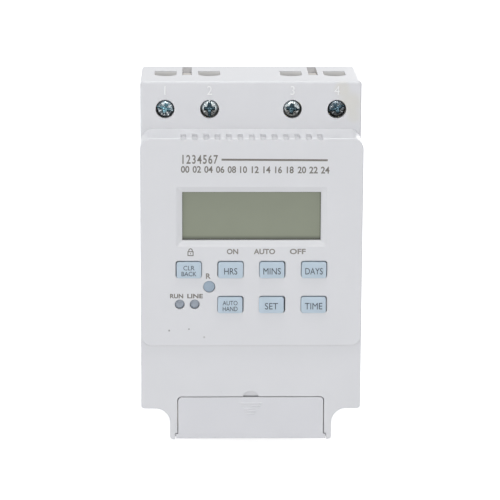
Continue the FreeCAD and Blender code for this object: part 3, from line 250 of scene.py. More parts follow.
def moulded_plastic(name, code, roughness=0.3, grain=0.35, specks=0.0, corner_shade_share=0.86, pocket_light_and_shade=(), blots=(),
                    edge_radius=0.22):
    """Moulded thermoplastic: satin, with the mould's eroded grain, faint clouding and softly rounded edges.
    grain is the size in millimetres of the pits, drawn coarser than the real 0.1 mm so that they show, and
    corner_shade_share is how much of the colour is left in the corners, where painted shade darkens it."""
    cloud, shade_reach, pit_deep = 14 * MM, 1.2 * MM, 0.012 * MM
    material, tree, shader, place = new_material(name)
    pits = add(tree, "ShaderNodeTexNoise", {"Vector": place},
               {"Scale": 1 / (grain * MM), "Detail": 2.0, "Roughness": 0.6})
    clouds = add(tree, "ShaderNodeTexNoise", {"Vector": place}, {"Scale": 1 / cloud, "Detail": 3.0})
    colour = add(tree, "ShaderNodeMix", {"Factor": clouds.outputs["Fac"]},
                 {6: linear(code, 0.975), 7: linear(code, 1.02)}, data_type="RGBA").outputs[2]
    if specks:
        colour = specked(tree, place, colour, specks)
    colour = blotted(tree, place, colour, blots)
    # Painted shade: in corners and creases, where ambient occlusion finds other surfaces near, the colour darkens
    # towards a set share of itself.
    nook = add(tree, "ShaderNodeAmbientOcclusion", values={"Distance": shade_reach}, samples=6)
    depth = add(tree, "ShaderNodeMapRange", {"Value": nook.outputs["AO"]}, {"From Min": 0.25, "From Max": 0.75})
    colour = add(tree, "ShaderNodeMix", {"Factor": depth.outputs[0], 7: colour}, {6: linear(code, corner_shade_share)},
                 data_type="RGBA").outputs[2]
    # Painted light and shade inside the pockets of the top.
    if pocket_light_and_shade:
        colour = pocketed(tree, place, colour, pocket_light_and_shade)
    gloss = add(tree, "ShaderNodeMapRange", {"Value": clouds.outputs["Fac"]},
                {"To Min": roughness - 0.04, "To Max": roughness + 0.05})
    edge = add(tree, "ShaderNodeBevel", values={"Radius": edge_radius * MM}, samples=6)
    relief = add(tree, "ShaderNodeBump", {"Height": pits.outputs["Fac"], "Normal": edge.outputs[0]},
                 {"Strength": 0.25, "Distance": pit_deep})
    join(tree, shader, {"Base Color": colour, "Roughness": gloss.outputs[0], "Normal": relief.outputs[0]},
         {"IOR": 1.53})
    return material


def dress(name, material):
    """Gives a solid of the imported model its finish."""
    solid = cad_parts[name]
    if not solid.data.materials:
        solid.data.materials.append(material)
    for index in range(len(solid.data.materials)):
        solid.data.materials[index] = material


casing_dirt = (
    ((-27.4, -58.0, -21.9), 0.45, "#7b7873", 0.75), ((-20.8, -58.0, -21.4), 0.32, "#5f5c58", 0.9),
    ((-15.7, -58.0, -24.2), 0.5, "#8f8c88", 0.45), ((33.0, -43.0, 52.6), 5.5, "#d8d5c9", 0.55),
    ((30.5, -43.0, 57.5), 3.5, "#dad6c8", 0.45), ((34.5, -43.0, 48.0), 3.0, "#dbd8cc", 0.4),
)
# Its wire entries get painted light near their mouths and painted shade further down, its snap windows painted shade.
casing_plastic = moulded_plastic("moulded_abs_offwhite", "#e2e2e4", specks=0.5, pocket_light_and_shade=("#fbfaf8", "#cdc6bd"),
                                 blots=casing_dirt, edge_radius=0.3)
dress("front_housing", casing_plastic)


def lettering(name, words, centre, height, depth, thick, width=None, share=1.0, bold=0.0):
    """Words as flat plates: the built-in letters' outlines, filled, scaled to a box of width by height whose
    middle is centre = (x, z), and given thickness from depth towards the viewer. Without a width it is share times
    the letters' own width at that height."""
    curve = bpy.data.curves.new(name, "FONT")
    curve.body, curve.offset, curve.resolution_u = words, bold, 4
    holder = put(name, curve)
    mesh = bpy.data.meshes.new_from_object(holder.evaluated_get(bpy.context.evaluated_depsgraph_get()))
    bpy.data.objects.remove(holder)
    flat = np.empty(len(mesh.vertices) * 3)
    mesh.vertices.foreach_get("co", flat)
    flat = flat.reshape(-1, 3)[:, :2]
    low, high = flat.min(0), flat.max(0)
    if width is None:
        width = (high - low)[0] * height / (high - low)[1] * share
    spot = (flat - (low + high) / 2) / (high - low) * (width, height)
    points = np.column_stack([centre[0] + spot[:, 0], np.full(len(spot), depth), centre[1] + spot[:, 1]])
    faces = [tuple(face.vertices) for face in mesh.polygons]
    bpy.data.meshes.remove(mesh)
    plate = bpy.data.meshes.new(name)
    plate.from_pydata(points.tolist(), [], faces)
    form = bmesh.new()
    form.from_mesh(plate)
    bmesh.ops.remove_doubles(form, verts=form.verts, dist=1e-6)
    raised = bmesh.ops.extrude_face_region(form, geom=form.faces[:])
    moved = [vert for vert in raised["geom"] if isinstance(vert, bmesh.types.BMVert)]
    bmesh.ops.translate(form, vec=(0, -thick, 0), verts=moved)
    bmesh.ops.recalc_face_normals(form, faces=form.faces)
    form.to_mesh(plate)
    form.free()
    return put(name, plate)


def face_centre(low, high, right=0.0, up=0.0):
    """Middle of a box as (x, z), moved right and up by millimetres."""
    return (low.x + high.x) / 2 + right * MM, (low.z + high.z) / 2 + up * MM


mark_height, mark_share, mark_rise = 3.0 * MM, 0.9, 6.35
mark_sunk, mark_thick = 0.1 * MM, 0.32 * MM
head_set_back = 1.0 * MM
terminal_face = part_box("terminal_screw_1")[0].y - head_set_back
# Painted highlight: the raised numbers are coloured pure white, lighter than the casing, for the light their faces
# catch.
lit_mark_plastic = moulded_plastic("moulded_abs_raised_painted_highlight", "#ffffff", corner_shade_share=1.0)
for number in range(1, 5):
    centre = face_centre(*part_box("terminal_screw_" + str(number)), up=mark_rise)
    mark = lettering("terminal_mark_" + str(number), str(number), centre, mark_height, terminal_face + mark_sunk,
                     mark_thick, share=mark_share)
    mark.data.materials.append(lit_mark_plastic)
    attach(mark, "root")

# Fascia: the raised front panel, moulded in the same ABS and clipped into the housing.
# It is pad-printed in warm greys: a padlock, ON, AUTO and OFF, lamp labels, day numbers, a rule and an hour scale.
dress("fascia", casing_plastic)
fascia_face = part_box("fascia")[0].y
ink_thick, ink_sunk = 0.02 * MM, 0.01 * MM


def printed_ink(name, code):
    """Pad-printed ink: matt, a little uneven where the pad lifted."""
    patch = 0.5 * MM
    material, tree, shader, place = new_material(name)
    thin = add(tree, "ShaderNodeTexNoise", {"Vector": place}, {"Scale": 1 / patch, "Detail": 2.0})
    tint = add(tree, "ShaderNodeMix", {"Factor": thin.outputs["Fac"]}, {6: linear(code), 7: linear(code, 1.35)},
               data_type="RGBA")
    join(tree, shader, {"Base Color": tint.outputs[2]}, {"Roughness": 0.6, "IOR": 1.5})
    return material


legend_ink = printed_ink("pad_ink_warm_grey", "#85817b")
scale_ink = printed_ink("pad_ink_brown_grey", "#736f69")


def legend(name, words, x, z, height, width=None, share=1.0, bold=0.03, ink=scale_ink):
    """One legend on the fascia, its middle and size in millimetres."""
    piece = lettering(name, words, (x * MM, z * MM), height * MM, fascia_face + ink_sunk, ink_thick + ink_sunk,
                      width and width * MM, share, bold)
    piece.data.materials.append(ink)
    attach(piece, "root")


legend("legend_on", "ON", -6.32, 5.16, 1.85, 3.8, ink=legend_ink)
legend("legend_auto", "AUTO", 4.3, 5.16, 1.85, 7.1, ink=legend_ink)
legend("legend_off", "OFF", 15.35, 5.16, 1.85, 5.3, ink=legend_ink)
legend("legend_clear", "R", -14.35, -3.2, 1.85, 1.6, ink=legend_ink)
legend("legend_lamp_run", "RUN", -24.9, -10.05, 1.5, 4.4)
legend("legend_lamp_mains", "LINE", -18.75, -10.05, 1.5, 5.2)
print_slant = -0.0055
day_first, day_last, day_z, day_height = -22.7, -11.9, 36.15, 3.0
for day in range(1, 8):
    x = day_first + (day_last - day_first) * (day - 1) / 6
    legend("legend_day_" + str(day), str(day), x, day_z + print_slant * x, day_height, share=0.72, bold=0.018)
hour_first, hour_last, hour_z, hour_height = -22.0, 24.2, 32.8, 2.3
for step in range(13):
    x = hour_first + (hour_last - hour_first) * step / 12
    legend("legend_hour_" + str(2 * step), "%02d" % (2 * step), x, hour_z + print_slant * x, hour_height,
           share=0.92, bold=0.022)


def strip_of_ink(name, corners):
    """Printed area with straight sides, from its corners in millimetres, as a thin plate on the fascia."""
    x, z = np.array(corners).T * MM
    count = len(x)
    front = np.column_stack([x, np.full(count, fascia_face - ink_thick), z])
    back = np.column_stack([x, np.full(count, fascia_face + ink_sunk), z])
    faces = [tuple(range(count)), tuple(range(2 * count - 1, count - 1, -1))]
    faces += [(i, (i + 1) % count, (i + 1) % count + count, i + count) for i in range(count)]
    piece = mesh_object(name, np.concatenate([front, back]), faces)
    piece.data.materials.append(scale_ink)
    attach(piece, "root")


rule_left, rule_right, rule_z, rule_thick = -10.0, 25.0, 36.1, 0.65
rule_ends = [(x, rule_z + print_slant * x) for x in (rule_left, rule_right)]
strip_of_ink("legend_rule", [(x, z - rule_thick / 2) for x, z in rule_ends]
             + [(x, z + rule_thick / 2) for x, z in rule_ends[::-1]])


def padlock(name, x, z, width, height, stroke):
    """Padlock sign: a ring of ink round the body's box, a bar for the keyhole and a half ring for the shackle, whose
    points are its middle plus its radius times (cos a, sin a)."""
    shoulder_share, shackle_share, steps = 0.12, 0.36, 12
    low, left, right = z - height / 2, x - width / 2, x + width / 2
    high = z + height * shoulder_share
    bars = ((left, right, low, low + stroke), (left, right, high - stroke, high),
            (left, left + stroke, low + stroke, high - stroke), (right - stroke, right, low + stroke, high - stroke),
            (x - stroke / 2, x + stroke / 2, low + 2 * stroke, high - 2 * stroke))
    for part, (x0, x1, z0, z1) in enumerate(bars):
        strip_of_ink(name + "_" + str(part), [(x0, z0), (x1, z0), (x1, z1), (x0, z1)])
    radius = width * shackle_share
    rise = z + height / 2 - radius
    angles = np.linspace(0, math.pi, steps + 1)
    way = np.column_stack([np.cos(angles), np.sin(angles)])
    outer, inner = (x, rise) + way * radius, (x, rise) + way * (radius - stroke)
    for i in range(steps):
        strip_of_ink(name + "_arch_" + str(i), [outer[i], outer[i + 1], inner[i + 1], inner[i]])
    for side, x0 in (("left", x - radius), ("right", x + radius - stroke)):
        x1 = x0 + stroke
        strip_of_ink(name + "_leg_" + side, [(x0, high), (x1, high), (x1, rise), (x0, rise)])


padlock("legend_padlock", -20.25, 4.95, 2.0, 2.6, 0.3)

# Battery door: moulded in the casing's ABS, with raised grip lines under the housing's thumb notch.
# It turns on pins moulded at its lower corners, which sit in blind holes of the housing.
# Its colour is a little darker than the casing's, as painted shade for the lower front, which gets less light.
dress("battery_door", moulded_plastic("moulded_abs_door_painted_shade", "#dfdfe2", specks=0.3))

# Display: two glass plates with a grey-green polarising film on the front, in a holder behind the window.
# The film reads flat and grey, with painted shade along its edges.
window_x, window_low, window_high = 23.0 * MM, 8.7 * MM, 25.1 * MM
film_grow, film_thick = 0.8 * MM, 0.18 * MM


def display_film():
    """Film over a reflector: grey-green, satin gloss, with painted shade towards the window's edges where a smooth
    ramp of the distance to the edge says so. Each edge has its reach in millimetres and the share of light left at
    it."""
    haze_size = 9 * MM
    material, tree, shader, place = new_material("polarising_film_grey_green")
    axes = add(tree, "ShaderNodeSeparateXYZ", {0: place})
    shade = None
    for axis, edge, sign, reach, dark in (("X", -window_x, 1, 0.45, 0.7), ("X", window_x, -1, 0.6, 0.5),
                                          ("Z", window_high, -1, 0.5, 0.75), ("Z", window_low, 1, 1.7, 0.25)):
        away = add(tree, "ShaderNodeMath", {0: axes.outputs[axis]}, {1: edge}, operation="SUBTRACT")
        away = add(tree, "ShaderNodeMath", {0: away.outputs[0]}, {1: sign / (reach * MM)}, operation="MULTIPLY")
        ramp = add(tree, "ShaderNodeMapRange", {"Value": away.outputs[0]}, {"To Min": dark, "To Max": 1.0},
                   interpolation_type="SMOOTHSTEP").outputs[0]
        shade = ramp if shade is None else add(tree, "ShaderNodeMath", {0: shade, 1: ramp},
                                               operation="MULTIPLY").outputs[0]
    haze = add(tree, "ShaderNodeTexNoise", {"Vector": place}, {"Scale": 1 / haze_size, "Detail": 2.0})
    tint = add(tree, "ShaderNodeMix", {"Factor": haze.outputs["Fac"]},
               {6: linear("#898e7c"), 7: linear("#8f9481")}, data_type="RGBA")
    # Painted shade: the film's colour is mixed towards near black close to the window's edges.
    shaded = add(tree, "ShaderNodeMix", {"Factor": shade, 7: tint.outputs[2]}, {6: linear("#141412")},
                 data_type="RGBA")
    join(tree, shader, {"Base Color": shaded.outputs[2]}, {"Roughness": 0.3, "IOR": 1.49})
    return material


glass_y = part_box("lcd_panel")[0].y
film_x, film_low, film_high = window_x + film_grow, window_low - film_grow, window_high + film_grow
film = mesh_object("lcd_film", [(x, y, z) for x in (-film_x, film_x) for y in (glass_y - film_thick, glass_y)
                                for z in (film_low, film_high)],
                   [(0, 1, 3, 2), (4, 6, 7, 5), (0, 4, 5, 1), (2, 3, 7, 6), (0, 2, 6, 4), (1, 5, 7, 3)], 10.0)
film.data.materials.append(display_film())
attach(film, "root")

# Float glass, greenish, as smooth as its smears leave it.
smear_size = 6 * MM
sheet_glass, tree, shader, place = new_material("soda_lime_glass")
smear = add(tree, "ShaderNodeTexNoise", {"Vector": place}, {"Scale": 1 / smear_size, "Detail": 4.0})
gloss = add(tree, "ShaderNodeMapRange", {"Value": smear.outputs["Fac"]}, {"To Min": 0.03, "To Max": 0.12})
join(tree, shader, {"Roughness": gloss.outputs[0]}, {"Base Color": linear("#aab5a4"), "IOR": 1.52})
dress("lcd_panel", sheet_glass)
dress("lcd_holder", moulded_plastic("moulded_holder_white", "#e6e6e2"))

# Keys: one silicone moulding in light blue whose caps stand through the fascia, soft-edged and slightly crowned.
# Their legends are printed in dark grey.


def rounded_ring(half_width, half_height, radius, steps=7):
    """Points round a rectangle with round corners: four quarter circles, each of some steps, joined by straight
    runs."""
    angles = np.linspace(0, math.pi / 2, steps)
    radius = np.clip(radius, 0.001 * MM, None)
    ring = []
    for quarter, (sx, sz) in enumerate(((1, 1), (-1, 1), (-1, -1), (1, -1))):
        a = angles + quarter * math.pi / 2
        ring.append(np.column_stack([sx * (half_width - radius) + radius * np.cos(a),
                                     sz * (half_height - radius) + radius * np.sin(a)]))
    return np.concatenate(ring)


def stack_of_rings(name, rings, depths, centre, smooth_below=40.0):
    """Closed form from rings of points at given depths: each ring is joined to the next, both ends to their
    middles."""
    count, rows = len(rings[0]), len(rings)
    points = [np.column_stack([centre[0] + ring[:, 0], np.broadcast_to(depth, count), centre[1] + ring[:, 1]])
              for ring, depth in zip(rings, depths)]
    points += [[[centre[0], np.mean(depth), centre[1]]] for depth in (depths[0], depths[-1])]
    i, j = np.meshgrid(np.arange(rows - 1), np.arange(count), indexing="ij")
    k = (j + 1) % count
    quads = np.stack([i * count + j, i * count + k, (i + 1) * count + k, (i + 1) * count + j], -1).reshape(-1, 4)
    around = np.arange(count)
    after, last = (around + 1) % count, (rows - 1) * count
    back = np.column_stack([np.full(count, rows * count), around, after])
    front = np.column_stack([np.full(count, rows * count + 1), after + last, around + last])
    return mesh_object(name, np.concatenate(points), quads.tolist() + back.tolist() + front.tolist(), smooth_below)


def keycap(name, centre, half, corner, front, rear, flare, skirt):
    """Key from its foot forward: wide foot, slope of the skirt, straight sides, a quarter round at the edge, and a
    crown that rises as one minus the square of the distance from the middle."""
    edge, crown, corner_share = 0.15 * MM, 0.12 * MM, 0.7
    rings = [rounded_ring(half[0] + flare, half[1] + flare, corner + flare)] * 2
    rings += [rounded_ring(half[0], half[1], corner)] * 2
    depths = [rear, skirt[1], skirt[0], front + crown + edge]
    for angle in np.linspace(0, math.pi / 2, 6)[1:]:
        inset = edge * (1 - math.cos(angle))
        rings.append(rounded_ring(half[0] - inset, half[1] - inset, corner - inset * corner_share))
        depths.append(front + crown + edge * (1 - math.sin(angle)))
    for scale in (0.85, 0.65, 0.4, 0.15):
        rings.append(rounded_ring(half[0] - edge, half[1] - edge, corner - edge * corner_share) * scale)
        depths.append(front + crown * scale ** 2)
    return stack_of_rings(name, rings, depths, centre)


def silicone(name, code):
    """Moulded silicone rubber: matt, with light going a little way in and a faint dusty sheen."""
    cloud, pore, pore_deep = 3 * MM, 0.2 * MM, 0.01 * MM
    material, tree, shader, place = new_material(name)
    clouds = add(tree, "ShaderNodeTexNoise", {"Vector": place}, {"Scale": 1 / cloud, "Detail": 3.0})
    tint = add(tree, "ShaderNodeMix", {"Factor": clouds.outputs["Fac"]},
               {6: linear(code, 0.97), 7: linear(code, 1.03)}, data_type="RGBA")
    pores = add(tree, "ShaderNodeTexNoise", {"Vector": place}, {"Scale": 1 / pore, "Detail": 1.0})
    relief = add(tree, "ShaderNodeBump", {"Height": pores.outputs["Fac"]}, {"Strength": 0.2, "Distance": pore_deep})
    join(tree, shader, {"Base Color": tint.outputs[2], "Normal": relief.outputs[0]},
         {"Roughness": 0.5, "IOR": 1.43, "Subsurface Weight": 0.15, "Subsurface Scale": 1.0,
          "Subsurface Radius": (0.4 * MM, 0.4 * MM, 0.5 * MM), "Sheen Weight": 0.05})
    return material


key_rubber = silicone("silicone_light_blue", "#c5d4df")
key_ink = printed_ink("pad_ink_slate", "#474f59")
key_half, key_corner, key_drop = (4.12 * MM, 2.7 * MM), 0.75 * MM, -0.18
key_skirt = (3.3 * MM, 4.2 * MM)
legend_sunk, legend_thick = 0.1 * MM, 0.12 * MM
# Height and width of a letter, and how far each line stands above the middle, for one line and for two.
one_line, two_lines = (2.2, 1.45, (-0.3,)), (1.5, 1.3 * 0.95, (0.8, -1.2))
for key, shift, words in (("key_reset", 0.07, ("CLR", "BACK")), ("key_hour", 0.05, ("HRS",)),
                          ("key_minute", -0.1, ("MINS",)), ("key_day", -0.04, ("DAYS",)),
                          ("key_mode", -0.11, ("AUTO", "HAND")), ("key_timer", -0.24, ("SET",)),
                          ("key_clock", -0.08, ("TIME",))):
    low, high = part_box(key)
    centre = face_centre(low, high, shift, key_drop)
    cap = keycap(key + "_cap", centre, key_half, key_corner, low.y, high.y, (high.x - low.x) / 2 - key_half[0],
                 [low.y + reach for reach in key_skirt])
    cap.data.materials.append(key_rubber)
    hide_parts(key)
    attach(cap, key)
    tall, wide, rises = one_line if len(words) == 1 else two_lines
    for line, (word, rise) in enumerate(zip(words, rises)):
        text = lettering(key + "_legend_" + str(line), word, (centre[0], centre[1] + rise * MM), tall * MM,
                         low.y + legend_sunk, legend_thick, wide * len(word) * MM)
        text.data.materials.append(key_ink)
        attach(text, key)
low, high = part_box("key_clear")
clear_half, clear_skirt = 1.9 * MM, (2.3 * MM, 3.2 * MM)
clear_cap = keycap("key_clear_cap", face_centre(low, high, -0.07, 0.04), (clear_half, clear_half), clear_half,
                   low.y, high.y, (high.x - low.x) / 2 - clear_half, [low.y + reach for reach in clear_skirt])
clear_cap.data.materials.append(silicone("silicone_slate_blue", "#a6b6c4"))
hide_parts("key_clear")
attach(clear_cap, "key_clear")
dress("keypad_web", key_rubber)

# Signal lamps: light-emitting diodes cast in tinted epoxy, with their round ends just behind the fascia's face.
# They stand on the control board, each on a flange. The resin is smoky, clouded and glossy.
cloud_size = 1.5 * MM
lamp_resin, tree, shader, place = new_material("cast_epoxy_smoke")
cloud = add(tree, "ShaderNodeTexNoise", {"Vector": place}, {"Scale": 1 / cloud_size, "Detail": 2.0})
tint = add(tree, "ShaderNodeMix", {"Factor": cloud.outputs["Fac"]},
           {6: linear("#9ea6b1"), 7: linear("#a9b1bb")}, data_type="RGBA")
join(tree, shader, {"Base Color": tint.outputs[2]},
     {"Roughness": 0.28, "IOR": 1.55, "Subsurface Weight": 0.3, "Subsurface Scale": 1.0,
      "Subsurface Radius": (0.8 * MM, 0.8 * MM, 0.9 * MM)})


def turned_form(name, radii, depths, centre, around=40):
    """Closed round form about the depth axis: one circle for each pair of radius and depth."""
    angles = np.linspace(0, 2 * math.pi, around, endpoint=False)
    circle = np.column_stack([np.cos(angles), np.sin(angles)])
    return stack_of_rings(name, [circle * radius for radius in radii], depths, centre)


bulb, swell, flange_thick = 1.57 * MM, 0.45 * MM, 1.0 * MM
bend = np.linspace(0, math.pi / 2, 9)[:-1]
for lamp in ("lamp_work", "lamp_power"):
    low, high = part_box(lamp)
    flange = (high.x - low.x) / 2
    flange_y = high.y - flange_thick
    lens = turned_form(lamp + "_lens", [flange, flange, bulb, *bulb * np.cos(bend)],
                       [high.y, flange_y, flange_y, *low.y + swell * (1 - np.sin(bend))],
                       face_centre(low, high, -0.06, 0.05))
    lens.data.materials.append(lamp_resin)
    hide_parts(lamp)
    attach(lens, "root")

# Terminals: steel screws, zinc plated and passivated blue, with a slot and a cross in one head.
# Each turns in a brass cage and pushes a ribbed clamp pad on the conductor.


def plated_metal(name, code, roughness, marked=0.3, stain="#3a3d40", stain_share=0.25):
    """Plated steel or brass: metallic, with fine tool marks and a thin dull film in patches."""
    patch, mark, mark_deep = 1.6 * MM, 0.25 * MM, 0.01 * MM
    material, tree, shader, place = new_material(name)
    film = add(tree, "ShaderNodeTexNoise", {"Vector": place},
               {"Scale": 1 / patch, "Detail": 5.0, "Roughness": 0.65})
    share = add(tree, "ShaderNodeMapRange", {"Value": film.outputs["Fac"]},
                {"From Min": 0.45, "From Max": 0.75, "To Max": stain_share})
    tint = add(tree, "ShaderNodeMix", {"Factor": share.outputs[0]}, {6: linear(code), 7: linear(stain)},
               data_type="RGBA")
    marks = add(tree, "ShaderNodeTexNoise", {"Vector": place}, {"Scale": 1 / mark, "Detail": 3.0})
    gloss = add(tree, "ShaderNodeMapRange", {"Value": marks.outputs["Fac"]},
                {"To Min": roughness - 0.06, "To Max": roughness + 0.12})
    relief = add(tree, "ShaderNodeBump", {"Height": marks.outputs["Fac"]},
                 {"Strength": marked, "Distance": mark_deep})
    join(tree, shader, {"Base Color": tint.outputs[2], "Roughness": gloss.outputs[0], "Normal": relief.outputs[0]},
         {"Metallic": 1.0})
    return material


def screw_zinc(name, code, recess_shade_code, stain_and_shade_code):
    """Zinc plate with a blue passivation, darker in the recess and towards the bottom as painted shade, and nearly
    white along the glints as painted highlight.
    """
    material = plated_metal(name, code, 0.24, 0.45, stain_and_shade_code, 0.35)
    tree = material.node_tree
    shader = tree.nodes["Principled BSDF"]
    colour = shader.inputs["Base Color"].links[0].from_socket
    low_shade, sunk, painted_glint = (add(tree, "ShaderNodeAttribute", attribute_name=mark).outputs["Fac"]
                            for mark in ("low_shade", "sunk", "painted_glint"))
    grown = add(tree, "ShaderNodeMapRange", {"Value": low_shade}, {"From Min": 0.35, "From Max": 0.75, "To Max": 0.85})
    # Painted shade towards the bottom and in the recess, and a nearly white painted highlight along the glints.
    for factor, laid in ((grown.outputs[0], stain_and_shade_code), (sunk, recess_shade_code), (painted_glint, "#f6fbfc")):
        colour = add(tree, "ShaderNodeMix", {"Factor": factor, 6: colour}, {7: linear(laid)},
                     data_type="RGBA").outputs[2]
    # Where the painted highlight lies the metal turns less metallic, so it reads white.
    bare = add(tree, "ShaderNodeMapRange", {"Value": painted_glint}, {"To Min": 1.0, "To Max": 0.25})
    join(tree, shader, {"Base Color": colour, "Metallic": bare.outputs[0]})
    return material


def head_recess(x, z, slot_width):
    """Depth of the driver's recess at points of a screw's head, the deepest of three cuts: a slot with upright walls,
    a cross whose arms narrow outwards, and four thin ticks at 45 degrees to the cross."""
    slot_deep, wall = 0.8 * MM, 0.12 * MM
    reach, arm, deep, arm_end = 1.85 * MM, 1.3 * MM, 1.5 * MM, 0.2 * MM
    tick_half, tick_edge, tick_deep, tick_start, tick_end = 0.1 * MM, 0.06 * MM, 0.15 * MM, 0.9 * MM, 2.3 * MM
    sunk = np.clip((slot_width / 2 - np.abs(z)) / wall + 0.5, 0, 1) * slot_deep
    for u, v in ((x, z), (z, x)):
        side = np.clip((arm / 2 * (1.1 - 0.25 * np.abs(u) / reach) - np.abs(v)) / wall + 0.5, 0, 1)
        run = np.clip((reach - np.abs(u)) / arm_end, 0, 1)
        sunk = np.maximum(sunk, side * run * deep * (1 - 0.3 * np.abs(u) / reach))
    across, along = np.abs(x - z) / math.sqrt(2), np.abs(x + z) / math.sqrt(2)
    for off, run in ((across, along), (along, across)):
        tick = np.clip((tick_half - off) / tick_edge + 0.5, 0, 1) * (run > tick_start) * (run < tick_end)
        sunk = np.maximum(sunk, tick * tick_deep)
    return sunk


def terminal_screw(name, centre, front, end, angle, slot, lean, glints):
    """Screw as one sheet of rings from the middle of its head outwards and back to its tip. On the head the depth is
    a shallow dome plus the recess; on the shank the radius is a thread, a triangle wave of the turn minus the depth
    over the pitch. The head leans off the axis by lean. Three numbers are stored for each point: how far it is sunk,
    which sets the recess's painted shade, how bright its painted highlight is along the glints, given as (angle,
    inner and outer radius, half width), and its painted shade, which grows downwards."""
    around, axis_gap = 144, 0.03 * MM
    theta = np.linspace(0, 2 * math.pi, around, endpoint=False)
    circle = np.column_stack([np.cos(theta), np.sin(theta)])
    turn = math.radians(angle)
    radius, dome, edge, head_thick = 2.8 * MM, 0.32 * MM, 0.7 * MM, 2.4 * MM
    shank, pitch, cut = 2.0 * MM, 0.7 * MM, 0.32 * MM
    tip_radius, tip_long = 1.2 * MM, 0.8 * MM
    sunk_full, streak_edge, low_shade_span = 0.5 * MM, 0.1 * MM, 3.2 * MM
    neck, tip = front + head_thick, end - tip_long

    def recess(x, z):
        """Depth of the recess once the head is turned by its angle."""
        return head_recess(x * math.cos(turn) + z * math.sin(turn), -x * math.sin(turn) + z * math.cos(turn), slot)

    rings, depths = [], []
    for r in np.linspace(axis_gap, radius - edge, 40):
        rings.append(circle * r + lean)
        depths.append(front + dome * (r / radius) ** 2 + recess(*(circle * r).T))
    for bend in np.linspace(0, math.pi / 2, 9)[1:]:
        r = radius - edge + edge * math.sin(bend)
        rings.append(circle * r + lean)
        rim = front + dome * ((radius - edge) / radius) ** 2 + edge * (1 - math.cos(bend))
        depths.append(np.maximum(rim, front + recess(*(circle * r).T)))
    rings.append(circle * radius + lean)
    depths.append(np.full(around, neck))
    for y in np.arange(neck, tip, pitch / 6):
        phase = (theta / (2 * math.pi) - (y - neck) / pitch) % 1.0
        fade = min(1.0, (y - neck) / pitch, (tip - y) / pitch)
        rings.append(circle * (shank - cut * fade * (1 - np.abs(2 * phase - 1)))[:, None])
        depths.append(np.full(around, y))
    for r, y in ((shank * 0.9, tip), (tip_radius, tip), (tip_radius, end), (0.05 * MM, end)):
        rings.append(circle * r)
        depths.append(np.full(around, y))
    piece = stack_of_rings(name, rings, depths, centre, 35.0)
    place = np.empty(len(piece.data.vertices) * 3)
    piece.data.vertices.foreach_get("co", place)
    x, z = place[0::3] - centre[0] - lean[0], place[2::3] - centre[1] - lean[1]
    # Painted highlight: bright streaks along the glints.
    painted_glint = np.zeros(len(x))
    for degrees, inner, outer, wide in glints:
        a = math.radians(degrees)
        along, off = x * math.cos(a) + z * math.sin(a), np.abs(-x * math.sin(a) + z * math.cos(a))
        spread = wide * np.clip((along - inner) / (outer - inner), 0.15, 1)
        streak = np.clip((spread - off) / streak_edge + 0.5, 0, 1) * (along > inner) * (along < outer)
        painted_glint = np.maximum(painted_glint, streak)
    for mark, values in (("sunk", np.clip(recess(x, z) / sunk_full, 0, 1)), ("painted_glint", painted_glint),
                         ("low_shade", np.clip(0.5 - z / low_shade_span, 0, 1))):
        marks = piece.data.attributes.new(mark, "FLOAT", "POINT")
        marks.data.foreach_set("value", values.astype(np.float32))
    return piece


# Three copies of one zinc plating, lighter and darker, as painted light and shade for how brightly each head
# reflects.
bright_zinc = screw_zinc("zinc_plate_blue_bright", "#ced8da", "#36464d", "#5a5651")
mid_zinc = screw_zinc("zinc_plate_blue_mid_painted_shade", "#a3b3ba", "#55747e", "#4a4d50")
dark_zinc = screw_zinc("zinc_plate_blue_dark_painted_shade", "#7c868d", "#435660", "#332f2c")
# Turn in degrees, slot's width and lean in millimetres, plating, and glints as in terminal_screw, in millimetres.
screw_looks = (
    (-15.0, 0.6, (0.0, 0.0), mid_zinc, ((28, 0.5, 2.4, 0.26), (75, 1.5, 2.3, 0.16), (118, 0.5, 2.3, 0.26),
                                         (160, 1.5, 2.3, 0.12), (202, 0.7, 2.3, 0.2), (240, 1.4, 2.3, 0.16),
                                         (262, 1.2, 2.3, 0.14), (298, 0.6, 2.5, 0.26), (345, 1.5, 2.5, 0.14))),
    (90.0, 0.8, (0.0, 0.05), bright_zinc, ((90, 1.85, 2.9, 0.45), (210, 1.6, 2.1, 0.2), (45, 1.2, 2.4, 0.3),
                                           (135, 1.2, 2.4, 0.3))),
    (-6.0, 0.45, (-0.17, 0.0), bright_zinc, ((5, 1.5, 2.4, 0.16), (45, 1.1, 2.5, 0.14), (64, 1.3, 2.5, 0.1),
                                             (-28, 1.3, 2.3, 0.12), (25, 1.4, 2.5, 0.08), (150, 1.4, 2.4, 0.2),
                                             (180, 1.7, 2.4, 0.3))),
    (20.0, 0.5, (-0.03, 0.17), dark_zinc, ((-32, 1.5, 2.4, 0.1), (60, 0.5, 1.2, 0.12), (160, 1.0, 1.9, 0.1),
                                           (230, 1.2, 2.2, 0.08), (100, 1.3, 2.2, 0.08))),
)
for number, (angle, slot, lean, zinc, glints) in enumerate(screw_looks, 1):
    node = "terminal_screw_" + str(number)
    low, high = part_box(node)
    screw = terminal_screw(node + "_turned", face_centre(low, high), low.y, high.y, angle, slot * MM,
                           np.multiply(lean, MM), np.multiply(glints, (1, MM, MM, MM)))
    screw.data.materials.append(zinc)
    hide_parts(node)
    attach(screw, "screw_" + str(number))
    dress("terminal_cage_" + str(number),
          plated_metal("nickelled_brass_" + str(number), "#b9ac86", 0.3, stain="#6d6048", stain_share=0.3))
    dress("clamp_pad_" + str(number), plated_metal("zinc_steel_pad_" + str(number), "#a9adaf", 0.35))

